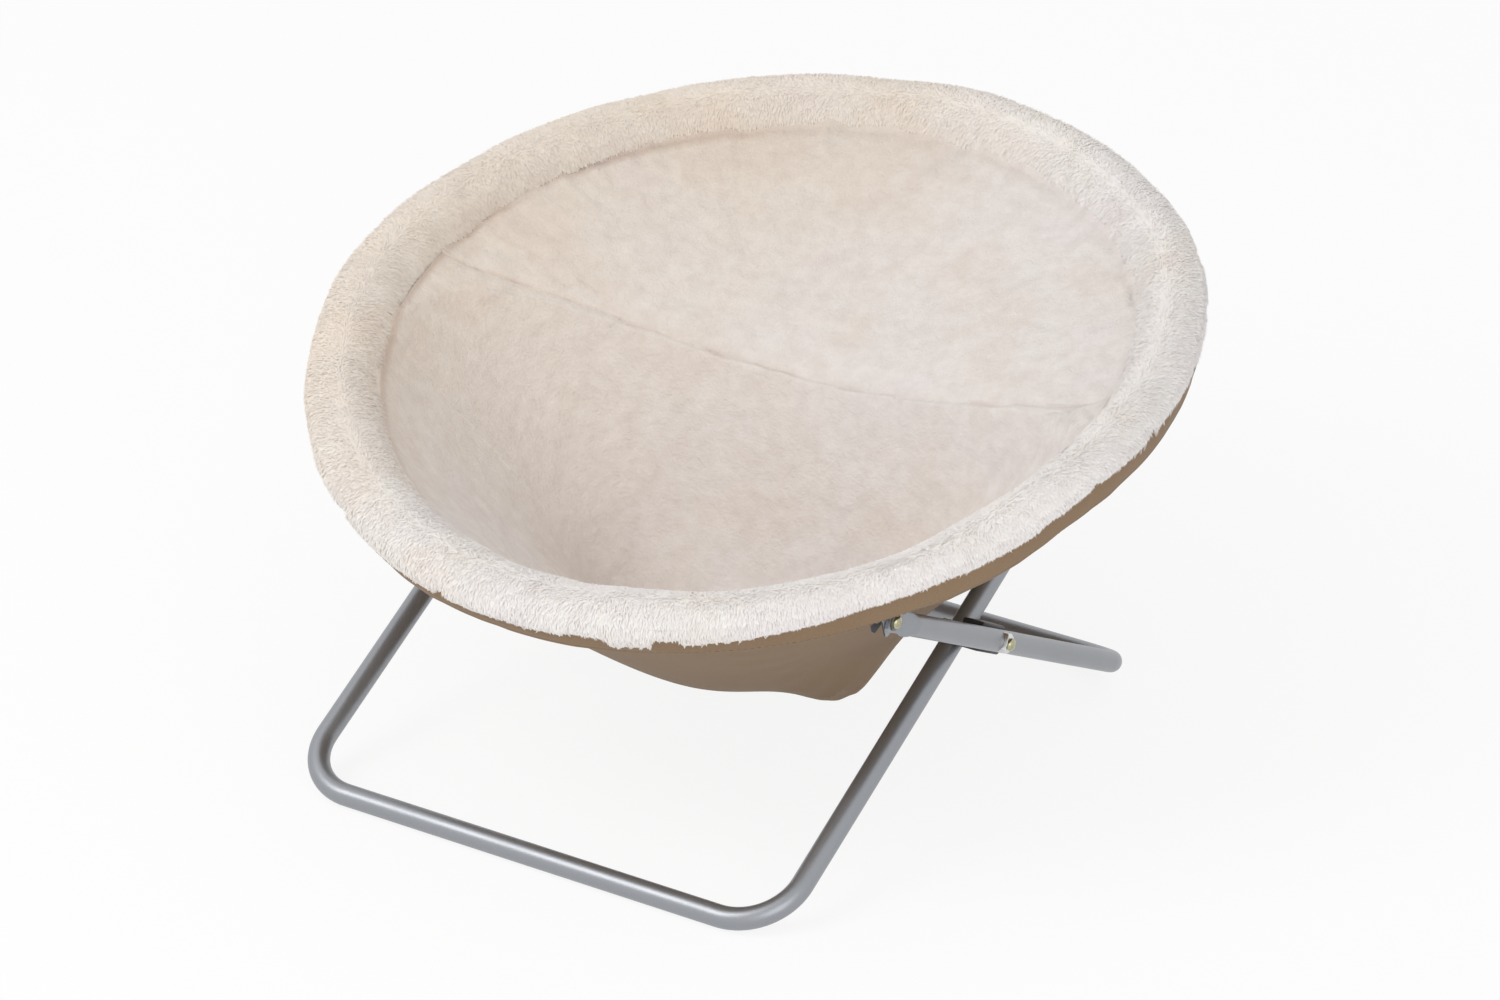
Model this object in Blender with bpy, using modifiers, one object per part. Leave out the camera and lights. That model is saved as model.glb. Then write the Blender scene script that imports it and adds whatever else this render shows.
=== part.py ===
"""A folding nest bed for a small pet, in metres, +Z up.

A fabric nest hangs in a steel hoop of two halves, hinged at the left and the right. Two U-shaped legs
cross under the hoop, turn on each other at two pivots, and hold the hoop by four brackets. The bed
faces -Y. The design works from the middle of the front leg's floor bar, and the whole assembly is then
moved back so that its origin is the bottom centre of its box.
"""
import math

import bmesh
import bpy
from mathutils import Matrix, Vector

# Hoop, measured to the middle of its tube
HOOP_RADIUS = 0.305
HOOP_TUBE_RADIUS = 0.0065
HINGE_FORWARD = 0.067
FRONT_TILT = math.radians(17.6)
REAR_TILT = math.radians(10.9)
HOOP_STEP = math.radians(7.5)
HOOP_SIDES = 10

# Legs, measured to the middle of their tubes
LEG_TUBE_RADIUS = 0.008
LEG_SIDES = 12
LEG_BEND_RADIUS = 0.043
BEND_STEPS = 8
BAR_SPACING = 0.451
FRONT_LEG_HALF_WIDTH = 0.196
LEG_GAP = 0.014
FRONT_LEG_SLOPE = math.radians(24.9)
REAR_LEG_SLOPE = math.radians(29.85)
REAR_LEG_LENGTH = 0.399
UPPER_BEND_START = 0.075
UPPER_BEND_RADIUS = 0.14
UPPER_BEND_STEPS = 3

# Pressed flat ends of the tubes
PLATE_HALF_THICKNESS = 0.0015
LEG_PLATE_HALF_HEIGHT = 0.0076
LEG_PRESS_START = 0.028
LEG_PRESS_END = 0.013
HINGE_PLATE_HALF_HEIGHT = 0.006
HINGE_PRESS_START = 0.030
HINGE_PRESS_END = 0.012

# Clearances
SEAT_GAP = 0.0003
HOLE_CLEARANCE = 0.0003
CUT_OVERRUN = 0.002
MERGE = 0.00001

# Fasteners
BOLT_RADIUS = 0.003
BOLT_HEAD_RADIUS = 0.0052
BOLT_HEAD_HEIGHT = 0.0036
NUT_RADIUS = 0.0055
NUT_HEIGHT = 0.0045
CAP_HEIGHT = 0.003
RIVET_RADIUS = 0.0018
RIVET_HEAD_RADIUS = 0.0034
RIVET_HEAD_HEIGHT = 0.0012
RIVET_DEPTH = 0.005
HINGE_HEAD_RADIUS = 0.005
HINGE_HEAD_HEIGHT = 0.0018
HINGE_WASHER_RADIUS = 0.0058
HINGE_WASHER_THICKNESS = 0.0007
TURNED_STEPS = 16

# Brackets under the hoop
BOLT_DROP = 0.0155
BRACKET_WALL = 0.0016
BRACKET_WIDTH = 0.0112
BRACKET_BEHIND_BOLT = 0.0095
BRACKET_AHEAD_OF_BOLT = 0.0125
BRACKET_BELOW_BOLT = 0.0085

# Leg pivots
SPACER_LENGTH = 0.036
SPACER_HEIGHT = 0.0205
SPACER_LIP = 0.0045
SPACER_ROUNDING = 0.0012
PIVOT_WASHER_RADIUS = 0.0075
PIVOT_WASHER_STAND = 0.0022

# Canvas band round the hoop
BAND_GAP = 0.0013
CANVAS = 0.0015
BAND_SHARES = (-150.0, -115.0, -80.0, -45.0, -10.0, 25.0, 60.0)
SLOT_MARGIN = 0.0015

# Plush border roll: how far it stands out of, above and inside the hoop's centre line
ROLL_OUT = 0.0162
ROLL_RISE = 0.026
ROLL_IN = 0.0375
PLUSH = 0.0042
ROLL_OUTER_SHARES = (
    (0.80, 0.15), (1.0, 0.30), (0.97, 0.46), (0.57, 0.81),
    (-0.08, 1.0), (-0.453, 0.9), (-0.773, 0.58), (-1.0, 0.115),
)
ROLL_BOTTOM_SHARES = ((-0.60, -0.03), (-0.30, 0.0), (-0.222, 0.205))

# Nest depths, each measured down from the plane of the hoop
DISH_DEPTH = 0.066
POCKET_DEPTH = 0.170
POCKET_FORWARD = 0.107
CHORD_BACK = 0.037
POCKET_FLOOR_SHARE = 0.25
POCKET_SOFTNESS = 6.0
CORNER_DEPTH = 0.034
CORNER_SIDE = 0.107
CORNER_FORWARD = 0.107
CORNER_SPREAD = 0.037
EDGE_POWER = 6.0
SHELL_THICKNESS = 0.0018
SHELL_DROP = 0.002
LINING_THICKNESS = 0.0048
LAYER_GAP = 0.0005
FILL_DEPTH = 0.012
PANEL_CROWN = 0.007
PANEL_LIFT = 0.0015
NORMAL_BLEND = 0.17
NEST_RAYS = 20
SIDE_RAYS = 3
RING_SHARES = (0.15, 0.27, 0.39, 0.54, 0.76, 1.0)
PANEL_RINGS = 2

PAINT = ("grey_paint", (0.33, 0.33, 0.35), 0.35, 0.7)
ZINC = ("yellow_zinc", (0.62, 0.58, 0.40), 0.3, 1.0)
STEEL = ("bare_steel", (0.50, 0.50, 0.50), 0.35, 1.0)
BLACK = ("black_plastic", (0.02, 0.02, 0.02), 0.5, 0.0)
CLOTH = ("brown_canvas", (0.27, 0.20, 0.14), 0.9, 0.0)
PILE = ("cream_plush", (0.78, 0.68, 0.60), 0.95, 0.0)
FIBRE = ("white_wadding", (0.85, 0.85, 0.83), 1.0, 0.0)

X_AXIS = Vector((1.0, 0.0, 0.0))
DOWN = Vector((0.0, 0.0, -1.0))

# Derived directions and joint places, from the front bar
front_direction = Vector((0.0, math.cos(FRONT_LEG_SLOPE), math.sin(FRONT_LEG_SLOPE)))
rear_direction = Vector((0.0, -math.cos(REAR_LEG_SLOPE), math.sin(REAR_LEG_SLOPE)))
front_bar = Vector((0.0, 0.0, LEG_TUBE_RADIUS))
rear_bar = Vector((0.0, BAR_SPACING, LEG_TUBE_RADIUS))
pivot_run = BAR_SPACING * math.sin(REAR_LEG_SLOPE) / math.sin(FRONT_LEG_SLOPE + REAR_LEG_SLOPE)
leg_pivot = front_bar + front_direction * pivot_run

front_along = Vector((0.0, math.cos(FRONT_TILT), math.sin(FRONT_TILT)))
front_normal = Vector((0.0, -math.sin(FRONT_TILT), math.cos(FRONT_TILT)))
rear_along = Vector((0.0, math.cos(REAR_TILT), math.sin(REAR_TILT)))
rear_normal = Vector((0.0, -math.sin(REAR_TILT), math.cos(REAR_TILT)))

rear_leg_half_width = FRONT_LEG_HALF_WIDTH + 2.0 * LEG_TUBE_RADIUS + LEG_GAP
front_bolt_v = -math.sqrt(HOOP_RADIUS ** 2 - rear_leg_half_width ** 2)
rear_bolt_v = math.sqrt(HOOP_RADIUS ** 2 - FRONT_LEG_HALF_WIDTH ** 2)
front_bolt = rear_bar + rear_direction * REAR_LEG_LENGTH
ring_hinge = front_bolt + front_normal * BOLT_DROP - front_along * (front_bolt_v + HINGE_FORWARD)
rear_bolt = ring_hinge + rear_along * (rear_bolt_v + HINGE_FORWARD) - rear_normal * BOLT_DROP
hinge_angle = -math.asin(HINGE_FORWARD / HOOP_RADIUS)
hinge_x = HOOP_RADIUS * math.cos(hinge_angle)

band_inner = HOOP_TUBE_RADIUS + BAND_GAP
band_outer = band_inner + CANVAS
nest_edge = HOOP_RADIUS - band_outer - LAYER_GAP
lining_edge = HOOP_RADIUS - ROLL_IN - LAYER_GAP
front_line = -HINGE_FORWARD - SEAT_GAP / 2.0
rear_line = -HINGE_FORWARD + SEAT_GAP / 2.0


def smooth_step(value):
    """0 below 0, 1 above 1 and a smooth rise between."""
    share = min(1.0, max(0.0, value))
    return share * share * (3.0 - 2.0 * share)


def ring_point(x, v, w):
    """A point of the nest: x to the right, v back from the hoop's middle, w up from the hoop's plane."""
    run = v + HINGE_FORWARD
    along = rear_along if run > 0.0 else front_along
    share = smooth_step(0.5 + run / (2.0 * NORMAL_BLEND))
    tilt = FRONT_TILT + (REAR_TILT - FRONT_TILT) * share
    normal = Vector((0.0, -math.sin(tilt), math.cos(tilt)))
    return ring_hinge + X_AXIS * x + along * run + normal * w


def hoop_frame(angle):
    """Centre, outward direction and plane normal of the hoop's tube at an angle from +X."""
    x = HOOP_RADIUS * math.cos(angle)
    v = HOOP_RADIUS * math.sin(angle)
    rear = v > -HINGE_FORWARD
    along = rear_along if rear else front_along
    normal = rear_normal if rear else front_normal
    centre = ring_hinge + X_AXIS * x + along * (v + HINGE_FORWARD)
    outward = X_AXIS * math.cos(angle) + along * math.sin(angle)
    return centre, outward, normal


def nest_depth(x, v, edge):
    """How far the nest's cloth hangs below the hoop's plane, where edge is the radius it hangs from."""
    scale = nest_edge / edge
    x, v = x * scale, v * scale
    dish = DISH_DEPTH * max(0.0, 1.0 - (x * x + v * v) / nest_edge ** 2)
    dv = v + POCKET_FORWARD
    run = math.hypot(x, dv)
    if run < MERGE:
        return dish + POCKET_DEPTH
    toward_v = dv / run
    inner = -POCKET_FORWARD * toward_v
    reach = -inner + math.sqrt(max(0.0, inner * inner - POCKET_FORWARD ** 2 + nest_edge ** 2))
    if toward_v > MERGE:
        chord = (CHORD_BACK + POCKET_FORWARD) / toward_v
        reach = (reach ** -EDGE_POWER + chord ** -EDGE_POWER) ** (-1.0 / EDGE_POWER)
    share = min(1.0, run / reach)
    drop = soft_floor((1.0 - share) / (1.0 - POCKET_FLOOR_SHARE))
    aside = ((abs(x) - CORNER_SIDE) ** 2 + (v + CORNER_FORWARD) ** 2) / CORNER_SPREAD ** 2
    return dish + POCKET_DEPTH * drop + CORNER_DEPTH * math.exp(-aside)


def soft_floor(rise):
    """The smaller of rise and 1, with a rounded corner, and exactly 0 at 0."""
    def rounded(value):
        return -math.log(math.exp(-POCKET_SOFTNESS * value) + math.exp(-POCKET_SOFTNESS)) / POCKET_SOFTNESS
    low = rounded(0.0)
    high = rounded(1.0 / (1.0 - POCKET_FLOOR_SHARE))
    return (rounded(rise) - low) / (high - low)


def lining_depth(x, v):
    """Depth of the lining's upper face, which keeps the filling's depth above the shell."""
    radius_share = min(1.0, math.hypot(x, v) / lining_edge)
    return nest_depth(x, v, lining_edge) - FILL_DEPTH * (1.0 - radius_share ** 4)


def shell_bottom(x, v):
    return -nest_depth(x, v, nest_edge) - SHELL_DROP


def shell_top(x, v):
    return shell_bottom(x, v) + SHELL_THICKNESS


def lining_top(x, v):
    return -lining_depth(x, v)


def lining_bottom(x, v):
    return -lining_depth(x, v) - LINING_THICKNESS


def fill_top(x, v):
    return lining_bottom(x, v) - LAYER_GAP


def fill_bottom(x, v):
    return shell_top(x, v) + LAYER_GAP


def panel_bottom(x, v):
    return lining_bottom(x, v) + PANEL_LIFT


def panel_top(x, v):
    """The back panel's face, which swells between its seams."""
    rim = 1.0 - (x * x + v * v) / lining_edge ** 2
    chord = (v - CHORD_BACK) / (lining_edge - CHORD_BACK)
    swell = 2.0 * math.sqrt(max(0.0, rim * chord))
    return lining_top(x, v) + PANEL_LIFT + PANEL_CROWN * min(1.0, swell)


def clear_scene():
    for thing in list(bpy.data.objects):
        bpy.data.objects.remove(thing, do_unlink=True)


def new_collection(name):
    collection = bpy.data.collections.new(name)
    bpy.context.scene.collection.children.link(collection)
    return collection


def make_material(name, look):
    base, colour, roughness, metallic = look
    material = bpy.data.materials.new(name + "_" + base)
    material.use_nodes = True
    shader = material.node_tree.nodes["Principled BSDF"]
    shader.inputs["Base Color"].default_value = (*colour, 1.0)
    shader.inputs["Roughness"].default_value = roughness
    shader.inputs["Metallic"].default_value = metallic
    return material


def make_bodies():
    """One empty on each joint's axis, under an empty that sets the assembly's origin."""
    outer = [
        ring_hinge + along * (side * (HOOP_RADIUS + ROLL_OUT * out) + HINGE_FORWARD) + normal * (ROLL_RISE * up)
        for side, along, normal in ((-1.0, front_along, front_normal), (1.0, rear_along, rear_normal))
        for out, up in ROLL_OUTER_SHARES
    ]
    low = min(point.y for point in outer)
    high = max(point.y for point in outer)
    base = bpy.data.objects.new("nest_bed", None)
    base.location = (0.0, -(low + high) / 2.0, 0.0)
    parts.objects.link(base)
    places = {
        "rear_ring": Vector((0.0, 0.0, 0.0)),
        "front_ring": ring_hinge,
        "front_legs": rear_bolt,
        "rear_legs": front_bolt,
    }
    bodies = {}
    for name, place in places.items():
        empty = bpy.data.objects.new(name + "_axis", None)
        empty.parent = base
        empty.location = place
        parts.objects.link(empty)
        bodies[name] = empty
    return bodies


def add_part(name, mesh, look, body, matrix=None):
    """A named piece, whose mesh is in the design's frame unless a matrix places it."""
    piece = bpy.data.objects.new(name, mesh)
    parts.objects.link(piece)
    piece.parent = bodies[body]
    piece.matrix_basis = Matrix.Translation(-bodies[body].location) @ (matrix or Matrix.Identity(4))
    mesh.materials.append(make_material(name, look))
    return piece


def add_cutter(name, mesh, matrix):
    """A cutter in the assembly's frame, left out of the model."""
    cutter = bpy.data.objects.new("cut_" + name, mesh)
    cutters.objects.link(cutter)
    cutter.parent = bodies["rear_ring"]
    cutter.matrix_basis = matrix
    cutter.hide_render = True
    cutter.display_type = "WIRE"
    return cutter


def cut(piece, cutter):
    boolean = piece.modifiers.new(cutter.name, "BOOLEAN")
    boolean.operation = "DIFFERENCE"
    boolean.solver = "EXACT"
    boolean.object = cutter


def mesh_from(bm, name):
    bmesh.ops.recalc_face_normals(bm, faces=bm.faces[:])
    mesh = bpy.data.meshes.new(name)
    bm.to_mesh(mesh)
    bm.free()
    return mesh


def loft(name, sections, closed_ring=False, cap_start=True):
    """A skin over sections of equal point counts, capped at its ends or joined into a ring."""
    bm = bmesh.new()
    rings = [[bm.verts.new(point) for point in section] for section in sections]
    pairs = list(zip(rings, rings[1:]))
    if closed_ring:
        pairs.append((rings[-1], rings[0]))
    for ring, following in pairs:
        for index in range(len(ring)):
            after = (index + 1) % len(ring)
            bm.faces.new((ring[index], ring[after], following[after], following[index]))
    if not closed_ring:
        if cap_start:
            bm.faces.new(rings[0][::-1])
        bm.faces.new(rings[-1])
    return mesh_from(bm, name)


def mirror_half(piece):
    """The other half, across the middle plane."""
    mirror = piece.modifiers.new("other_half", "MIRROR")
    mirror.use_axis = (True, False, False)
    mirror.use_clip = True
    mirror.merge_threshold = MERGE


def oval(centre, side, up, half_side, half_up, phase, count):
    """A section whose flats, not its corners, lie on the round tube."""
    spread = 1.0 / math.cos(math.pi / count)
    points = []
    for index in range(count):
        turn = phase + math.tau * index / count
        across = side * (half_side * spread * math.cos(turn))
        points.append(centre + across + up * (half_up * spread * math.sin(turn)))
    return points


def end_run(half_height, steps=3):
    """Places past a hole's middle and half heights that round off a plate's end."""
    shares = [math.sin(math.radians(90.0) * (index + 1) / (steps + 0.3)) for index in range(steps)]
    return [(half_height * share, half_height * math.sqrt(1.0 - share * share)) for share in shares]


def leg_frame(name, bar, direction, half_width, body, corner_run, end, look):
    """Half of a U-shaped leg: bar, bend, leg and pressed end, mirrored across the middle."""
    normal = X_AXIS.cross(direction)
    if normal.z < 0.0:
        normal = -normal
    bar_side = X_AXIS.cross(normal)
    phase = math.atan2(DOWN.dot(normal), DOWN.dot(bar_side)) - math.pi / LEG_SIDES
    sections = []

    def station(point, tangent, half_side=LEG_TUBE_RADIUS, half_up=LEG_TUBE_RADIUS):
        up = normal if tangent.x > MERGE else tangent.cross(X_AXIS * turn_sign)
        side = tangent.cross(up).normalized()
        sections.append(oval(point, side, up.normalized(), half_side, half_up, phase, LEG_SIDES))

    turn_sign = 1.0 if direction.cross(X_AXIS).dot(normal) > 0.0 else -1.0
    station(bar, X_AXIS)
    bend_x = half_width - LEG_BEND_RADIUS
    for index in range(BEND_STEPS + 1):
        turn = math.radians(90.0) * index / BEND_STEPS
        tangent = X_AXIS * math.cos(turn) + direction * math.sin(turn)
        centre = bar + X_AXIS * bend_x + direction * LEG_BEND_RADIUS
        point = centre + X_AXIS * (LEG_BEND_RADIUS * math.sin(turn))
        station(point - direction * (LEG_BEND_RADIUS * math.cos(turn)), tangent)

    aside = X_AXIS * half_width
    heading = direction
    if corner_run is not None:
        corner = bar + direction * corner_run
        heading = (end - corner).normalized()
        bend = direction.angle(heading)
        tangent_run = UPPER_BEND_RADIUS * math.tan(bend / 2.0)
        inward = (heading - direction * heading.dot(direction)).normalized()
        start = corner - direction * tangent_run
        for index in range(UPPER_BEND_STEPS + 1):
            turn = bend * index / UPPER_BEND_STEPS
            tangent = direction * math.cos(turn) + inward * math.sin(turn)
            point = start + direction * (UPPER_BEND_RADIUS * math.sin(turn))
            station(point + inward * (UPPER_BEND_RADIUS * (1.0 - math.cos(turn))) + aside, tangent)

    station(end - heading * LEG_PRESS_START + aside, heading)
    middle = (LEG_PRESS_START + LEG_PRESS_END) / 2.0
    half_side = (LEG_TUBE_RADIUS + PLATE_HALF_THICKNESS) / 2.0
    station(end - heading * middle + aside, heading, half_side, LEG_TUBE_RADIUS)
    for run, height in [(-LEG_PRESS_END, LEG_PLATE_HALF_HEIGHT), (0.0, LEG_PLATE_HALF_HEIGHT)]:
        station(end + heading * run + aside, heading, PLATE_HALF_THICKNESS, height)
    for run, height in end_run(LEG_PLATE_HALF_HEIGHT):
        station(end + heading * run + aside, heading, PLATE_HALF_THICKNESS, height)

    piece = add_part(name, loft(name, sections, cap_start=False), look, body)
    mirror_half(piece)
    return piece


def hoop_angles(front):
    """Angles from the middle of a half hoop to its right-hand hinge."""
    middle = -math.pi / 2.0 if front else math.pi / 2.0
    span = hinge_angle - middle
    count = round(abs(span) / HOOP_STEP)
    return [middle + span * index / count for index in range(count + 1)]


def half_hoop(name, front, plate_x, body):
    """Half of a half hoop: an arc of tube that runs out into a plate on the hinge's axis."""
    phase = math.radians(90.0) - math.pi / HOOP_SIDES
    along = front_along if front else rear_along
    normal = front_normal if front else rear_normal
    toward = along if front else -along
    sections = []
    for angle in hoop_angles(front):
        centre, outward, up = hoop_frame(angle)
        if abs((centre - ring_hinge).dot(along)) > HINGE_PRESS_START:
            sections.append(oval(centre, outward, up, HOOP_TUBE_RADIUS, HOOP_TUBE_RADIUS, phase, HOOP_SIDES))
    shares = (0.0, 0.5, 1.0)
    for share in shares:
        run = HINGE_PRESS_START + (HINGE_PRESS_END - HINGE_PRESS_START) * share
        v = -HINGE_FORWARD + (-run if front else run)
        x = math.sqrt(HOOP_RADIUS ** 2 - v ** 2)
        x += (plate_x - x) * smooth_step(share)
        centre = ring_hinge + X_AXIS * x - toward * run
        half_side = HOOP_TUBE_RADIUS + (PLATE_HALF_THICKNESS - HOOP_TUBE_RADIUS) * share
        half_up = HOOP_TUBE_RADIUS + (HINGE_PLATE_HALF_HEIGHT - HOOP_TUBE_RADIUS) * share
        sections.append(oval(centre, X_AXIS, normal, half_side, half_up, phase, HOOP_SIDES))
    plate = ring_hinge + X_AXIS * plate_x
    for run, height in [(0.0, HINGE_PLATE_HALF_HEIGHT)] + end_run(HINGE_PLATE_HALF_HEIGHT):
        centre = plate + toward * run
        sections.append(oval(centre, X_AXIS, normal, PLATE_HALF_THICKNESS, height, phase, HOOP_SIDES))
    piece = add_part(name, loft(name, sections, cap_start=False), PAINT, body)
    mirror_half(piece)
    return piece


def turned(name, profile, look, body, matrix):
    """A turned piece: a profile in the X-Z plane, spun round Z."""
    mesh = bpy.data.meshes.new(name)
    edges = [(index, index + 1) for index in range(len(profile) - 1)]
    mesh.from_pydata([(radius, 0.0, height) for radius, height in profile], edges, [])
    piece = add_part(name, mesh, look, body, matrix)
    screw = piece.modifiers.new("turn", "SCREW")
    screw.axis = "Z"
    screw.steps = TURNED_STEPS
    screw.render_steps = TURNED_STEPS
    screw.use_merge_vertices = True
    screw.merge_threshold = MERGE
    return piece


def dome(radius, height, steps=3):
    """The upper outline of a domed head, from its top to its edge."""
    points = []
    for index in range(steps + 1):
        turn = math.radians(90.0) * index / steps
        points.append((radius * math.sin(turn), height * math.cos(turn)))
    return points


def headed_pin(name, head_radius, head_height, radius, length, look, body, matrix):
    """A pin with a domed head above its origin and a shank below it."""
    profile = dome(head_radius, head_height) + [(radius, 0.0), (radius, -length), (0.0, -length)]
    return turned(name, profile, look, body, matrix)


def outward_matrix(point, side, x):
    """Places a turned piece with its axis along X, pointing away from the middle."""
    turn = Matrix.Rotation(math.radians(90.0) * side, 4, "Y")
    return Matrix.Translation((side * x, point.y, point.z)) @ turn


def cylinder(name, radius, low, high, sides=TURNED_STEPS):
    """A cylinder along Z between two heights."""
    bm = bmesh.new()
    bmesh.ops.create_cone(
        bm, cap_ends=True, segments=sides, radius1=radius, radius2=radius, depth=high - low,
        matrix=Matrix.Translation((0.0, 0.0, (low + high) / 2.0)),
    )
    return mesh_from(bm, name)


def box(name, size, centre):
    """A box of a size round a centre."""
    bm = bmesh.new()
    matrix = Matrix.Translation(centre) @ Matrix.Diagonal((*size, 1.0))
    bmesh.ops.create_cube(bm, size=1.0, matrix=matrix)
    return mesh_from(bm, name)


def hole_cutter(name, point, side, low_x, high_x, radius=BOLT_RADIUS + HOLE_CLEARANCE):
    """A cutter for a round hole along X, between two distances from the middle."""
    mesh = cylinder(name, radius, low_x - CUT_OVERRUN, high_x + CUT_OVERRUN)
    return add_cutter(name, mesh, outward_matrix(point, side, 0.0))


def hex_nut(name, point, side, inner_x, look, body):
    """A nut on the inner side of a joint, with its hole."""
    mesh = cylinder(name, NUT_RADIUS, 0.0, NUT_HEIGHT, sides=6)
    nut = add_part(name, mesh, look, body, outward_matrix(point, side, inner_x - NUT_HEIGHT))
    cut(nut, hole_cutter(name, point, side, inner_x - NUT_HEIGHT, inner_x))


def plane_matrix(front):
    """From the hoop's own directions, x right, v back and w up, into the design's frame."""
    along = front_along if front else rear_along
    normal = front_normal if front else rear_normal
    middle = ring_hinge + along * HINGE_FORWARD
    columns = Matrix((X_AXIS, along, normal)).transposed().to_4x4()
    return Matrix.Translation(middle) @ columns


def bracket(where, side, leg_half_width, bolt_v, body):
    """The channel under the hoop that takes a leg's pressed end, with its rivet, bolt and nut."""
    front = where == "front"
    hand = "right" if side > 0.0 else "left"
    name = where + "_bracket_" + hand
    point = front_bolt if front else rear_bolt
    matrix = plane_matrix(front)
    outer_x = leg_half_width - PLATE_HALF_THICKNESS - SEAT_GAP
    inner_x = outer_x - BRACKET_WIDTH
    middle_x = (outer_x + inner_x) / 2.0
    top = -HOOP_TUBE_RADIUS - SEAT_GAP
    bottom = -BOLT_DROP - BRACKET_BELOW_BOLT
    rivet_v = math.copysign(math.sqrt(HOOP_RADIUS ** 2 - middle_x ** 2), bolt_v)
    to_rivet = abs(rivet_v - bolt_v) + RIVET_HEAD_RADIUS + SEAT_GAP
    beyond_bolt = max(BRACKET_AHEAD_OF_BOLT, to_rivet)
    back = BRACKET_BEHIND_BOLT if front else beyond_bolt
    ahead = beyond_bolt if front else BRACKET_BEHIND_BOLT
    low_v, high_v = bolt_v - ahead, bolt_v + back
    length, middle_v = high_v - low_v, (high_v + low_v) / 2.0

    block = box(name, (BRACKET_WIDTH, length, top - bottom), (side * middle_x, middle_v, (top + bottom) / 2.0))
    piece = add_part(name, block, PAINT, body, matrix)
    channel_top = top - BRACKET_WALL
    channel = box(
        name + "_channel",
        (BRACKET_WIDTH - 2.0 * BRACKET_WALL, length + 2.0 * CUT_OVERRUN, channel_top - bottom + CUT_OVERRUN),
        (side * middle_x, middle_v, (channel_top + bottom - CUT_OVERRUN) / 2.0),
    )
    cut(piece, add_cutter(name + "_channel", channel, matrix))
    cut(piece, hole_cutter(name + "_bolt", point, side, inner_x, outer_x))

    rivet_place = matrix @ Matrix.Translation((side * middle_x, rivet_v, 0.0))
    bore = cylinder(name + "_rivet", RIVET_RADIUS + HOLE_CLEARANCE, top - BRACKET_WALL - CUT_OVERRUN,
                    top + RIVET_DEPTH + SEAT_GAP)
    bore_cutter = add_cutter(name + "_rivet", bore, rivet_place)
    cut(piece, bore_cutter)
    cut(front_hoop if front else rear_hoop, bore_cutter)
    flip = Matrix.Translation((0.0, 0.0, channel_top - SEAT_GAP)) @ Matrix.Rotation(math.pi, 4, "X")
    shank = RIVET_DEPTH + BRACKET_WALL
    headed_pin(where + "_bracket_rivet_" + hand, RIVET_HEAD_RADIUS, RIVET_HEAD_HEIGHT, RIVET_RADIUS, shank,
               STEEL, body, rivet_place @ flip)

    head_x = leg_half_width + PLATE_HALF_THICKNESS + SEAT_GAP
    nut_x = inner_x - SEAT_GAP
    headed_pin(where + "_bracket_bolt_" + hand, BOLT_HEAD_RADIUS, BOLT_HEAD_HEIGHT, BOLT_RADIUS,
               head_x - nut_x + NUT_HEIGHT, ZINC, body, outward_matrix(point, side, head_x))
    hex_nut(where + "_bracket_nut_" + hand, point, side, nut_x, ZINC, body)

    slot_inner = nut_x - NUT_HEIGHT - SLOT_MARGIN
    slot_outer = leg_half_width + PLATE_HALF_THICKNESS + SLOT_MARGIN
    slot_top = -HOOP_TUBE_RADIUS + SLOT_MARGIN
    slot_bottom = bottom - SLOT_MARGIN
    slot = box(
        name + "_slot",
        (slot_outer - slot_inner, length + 2.0 * SLOT_MARGIN, slot_top - slot_bottom),
        (side * (slot_outer + slot_inner) / 2.0, middle_v, (slot_top + slot_bottom) / 2.0),
    )
    return add_cutter(name + "_slot", slot, matrix)


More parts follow.
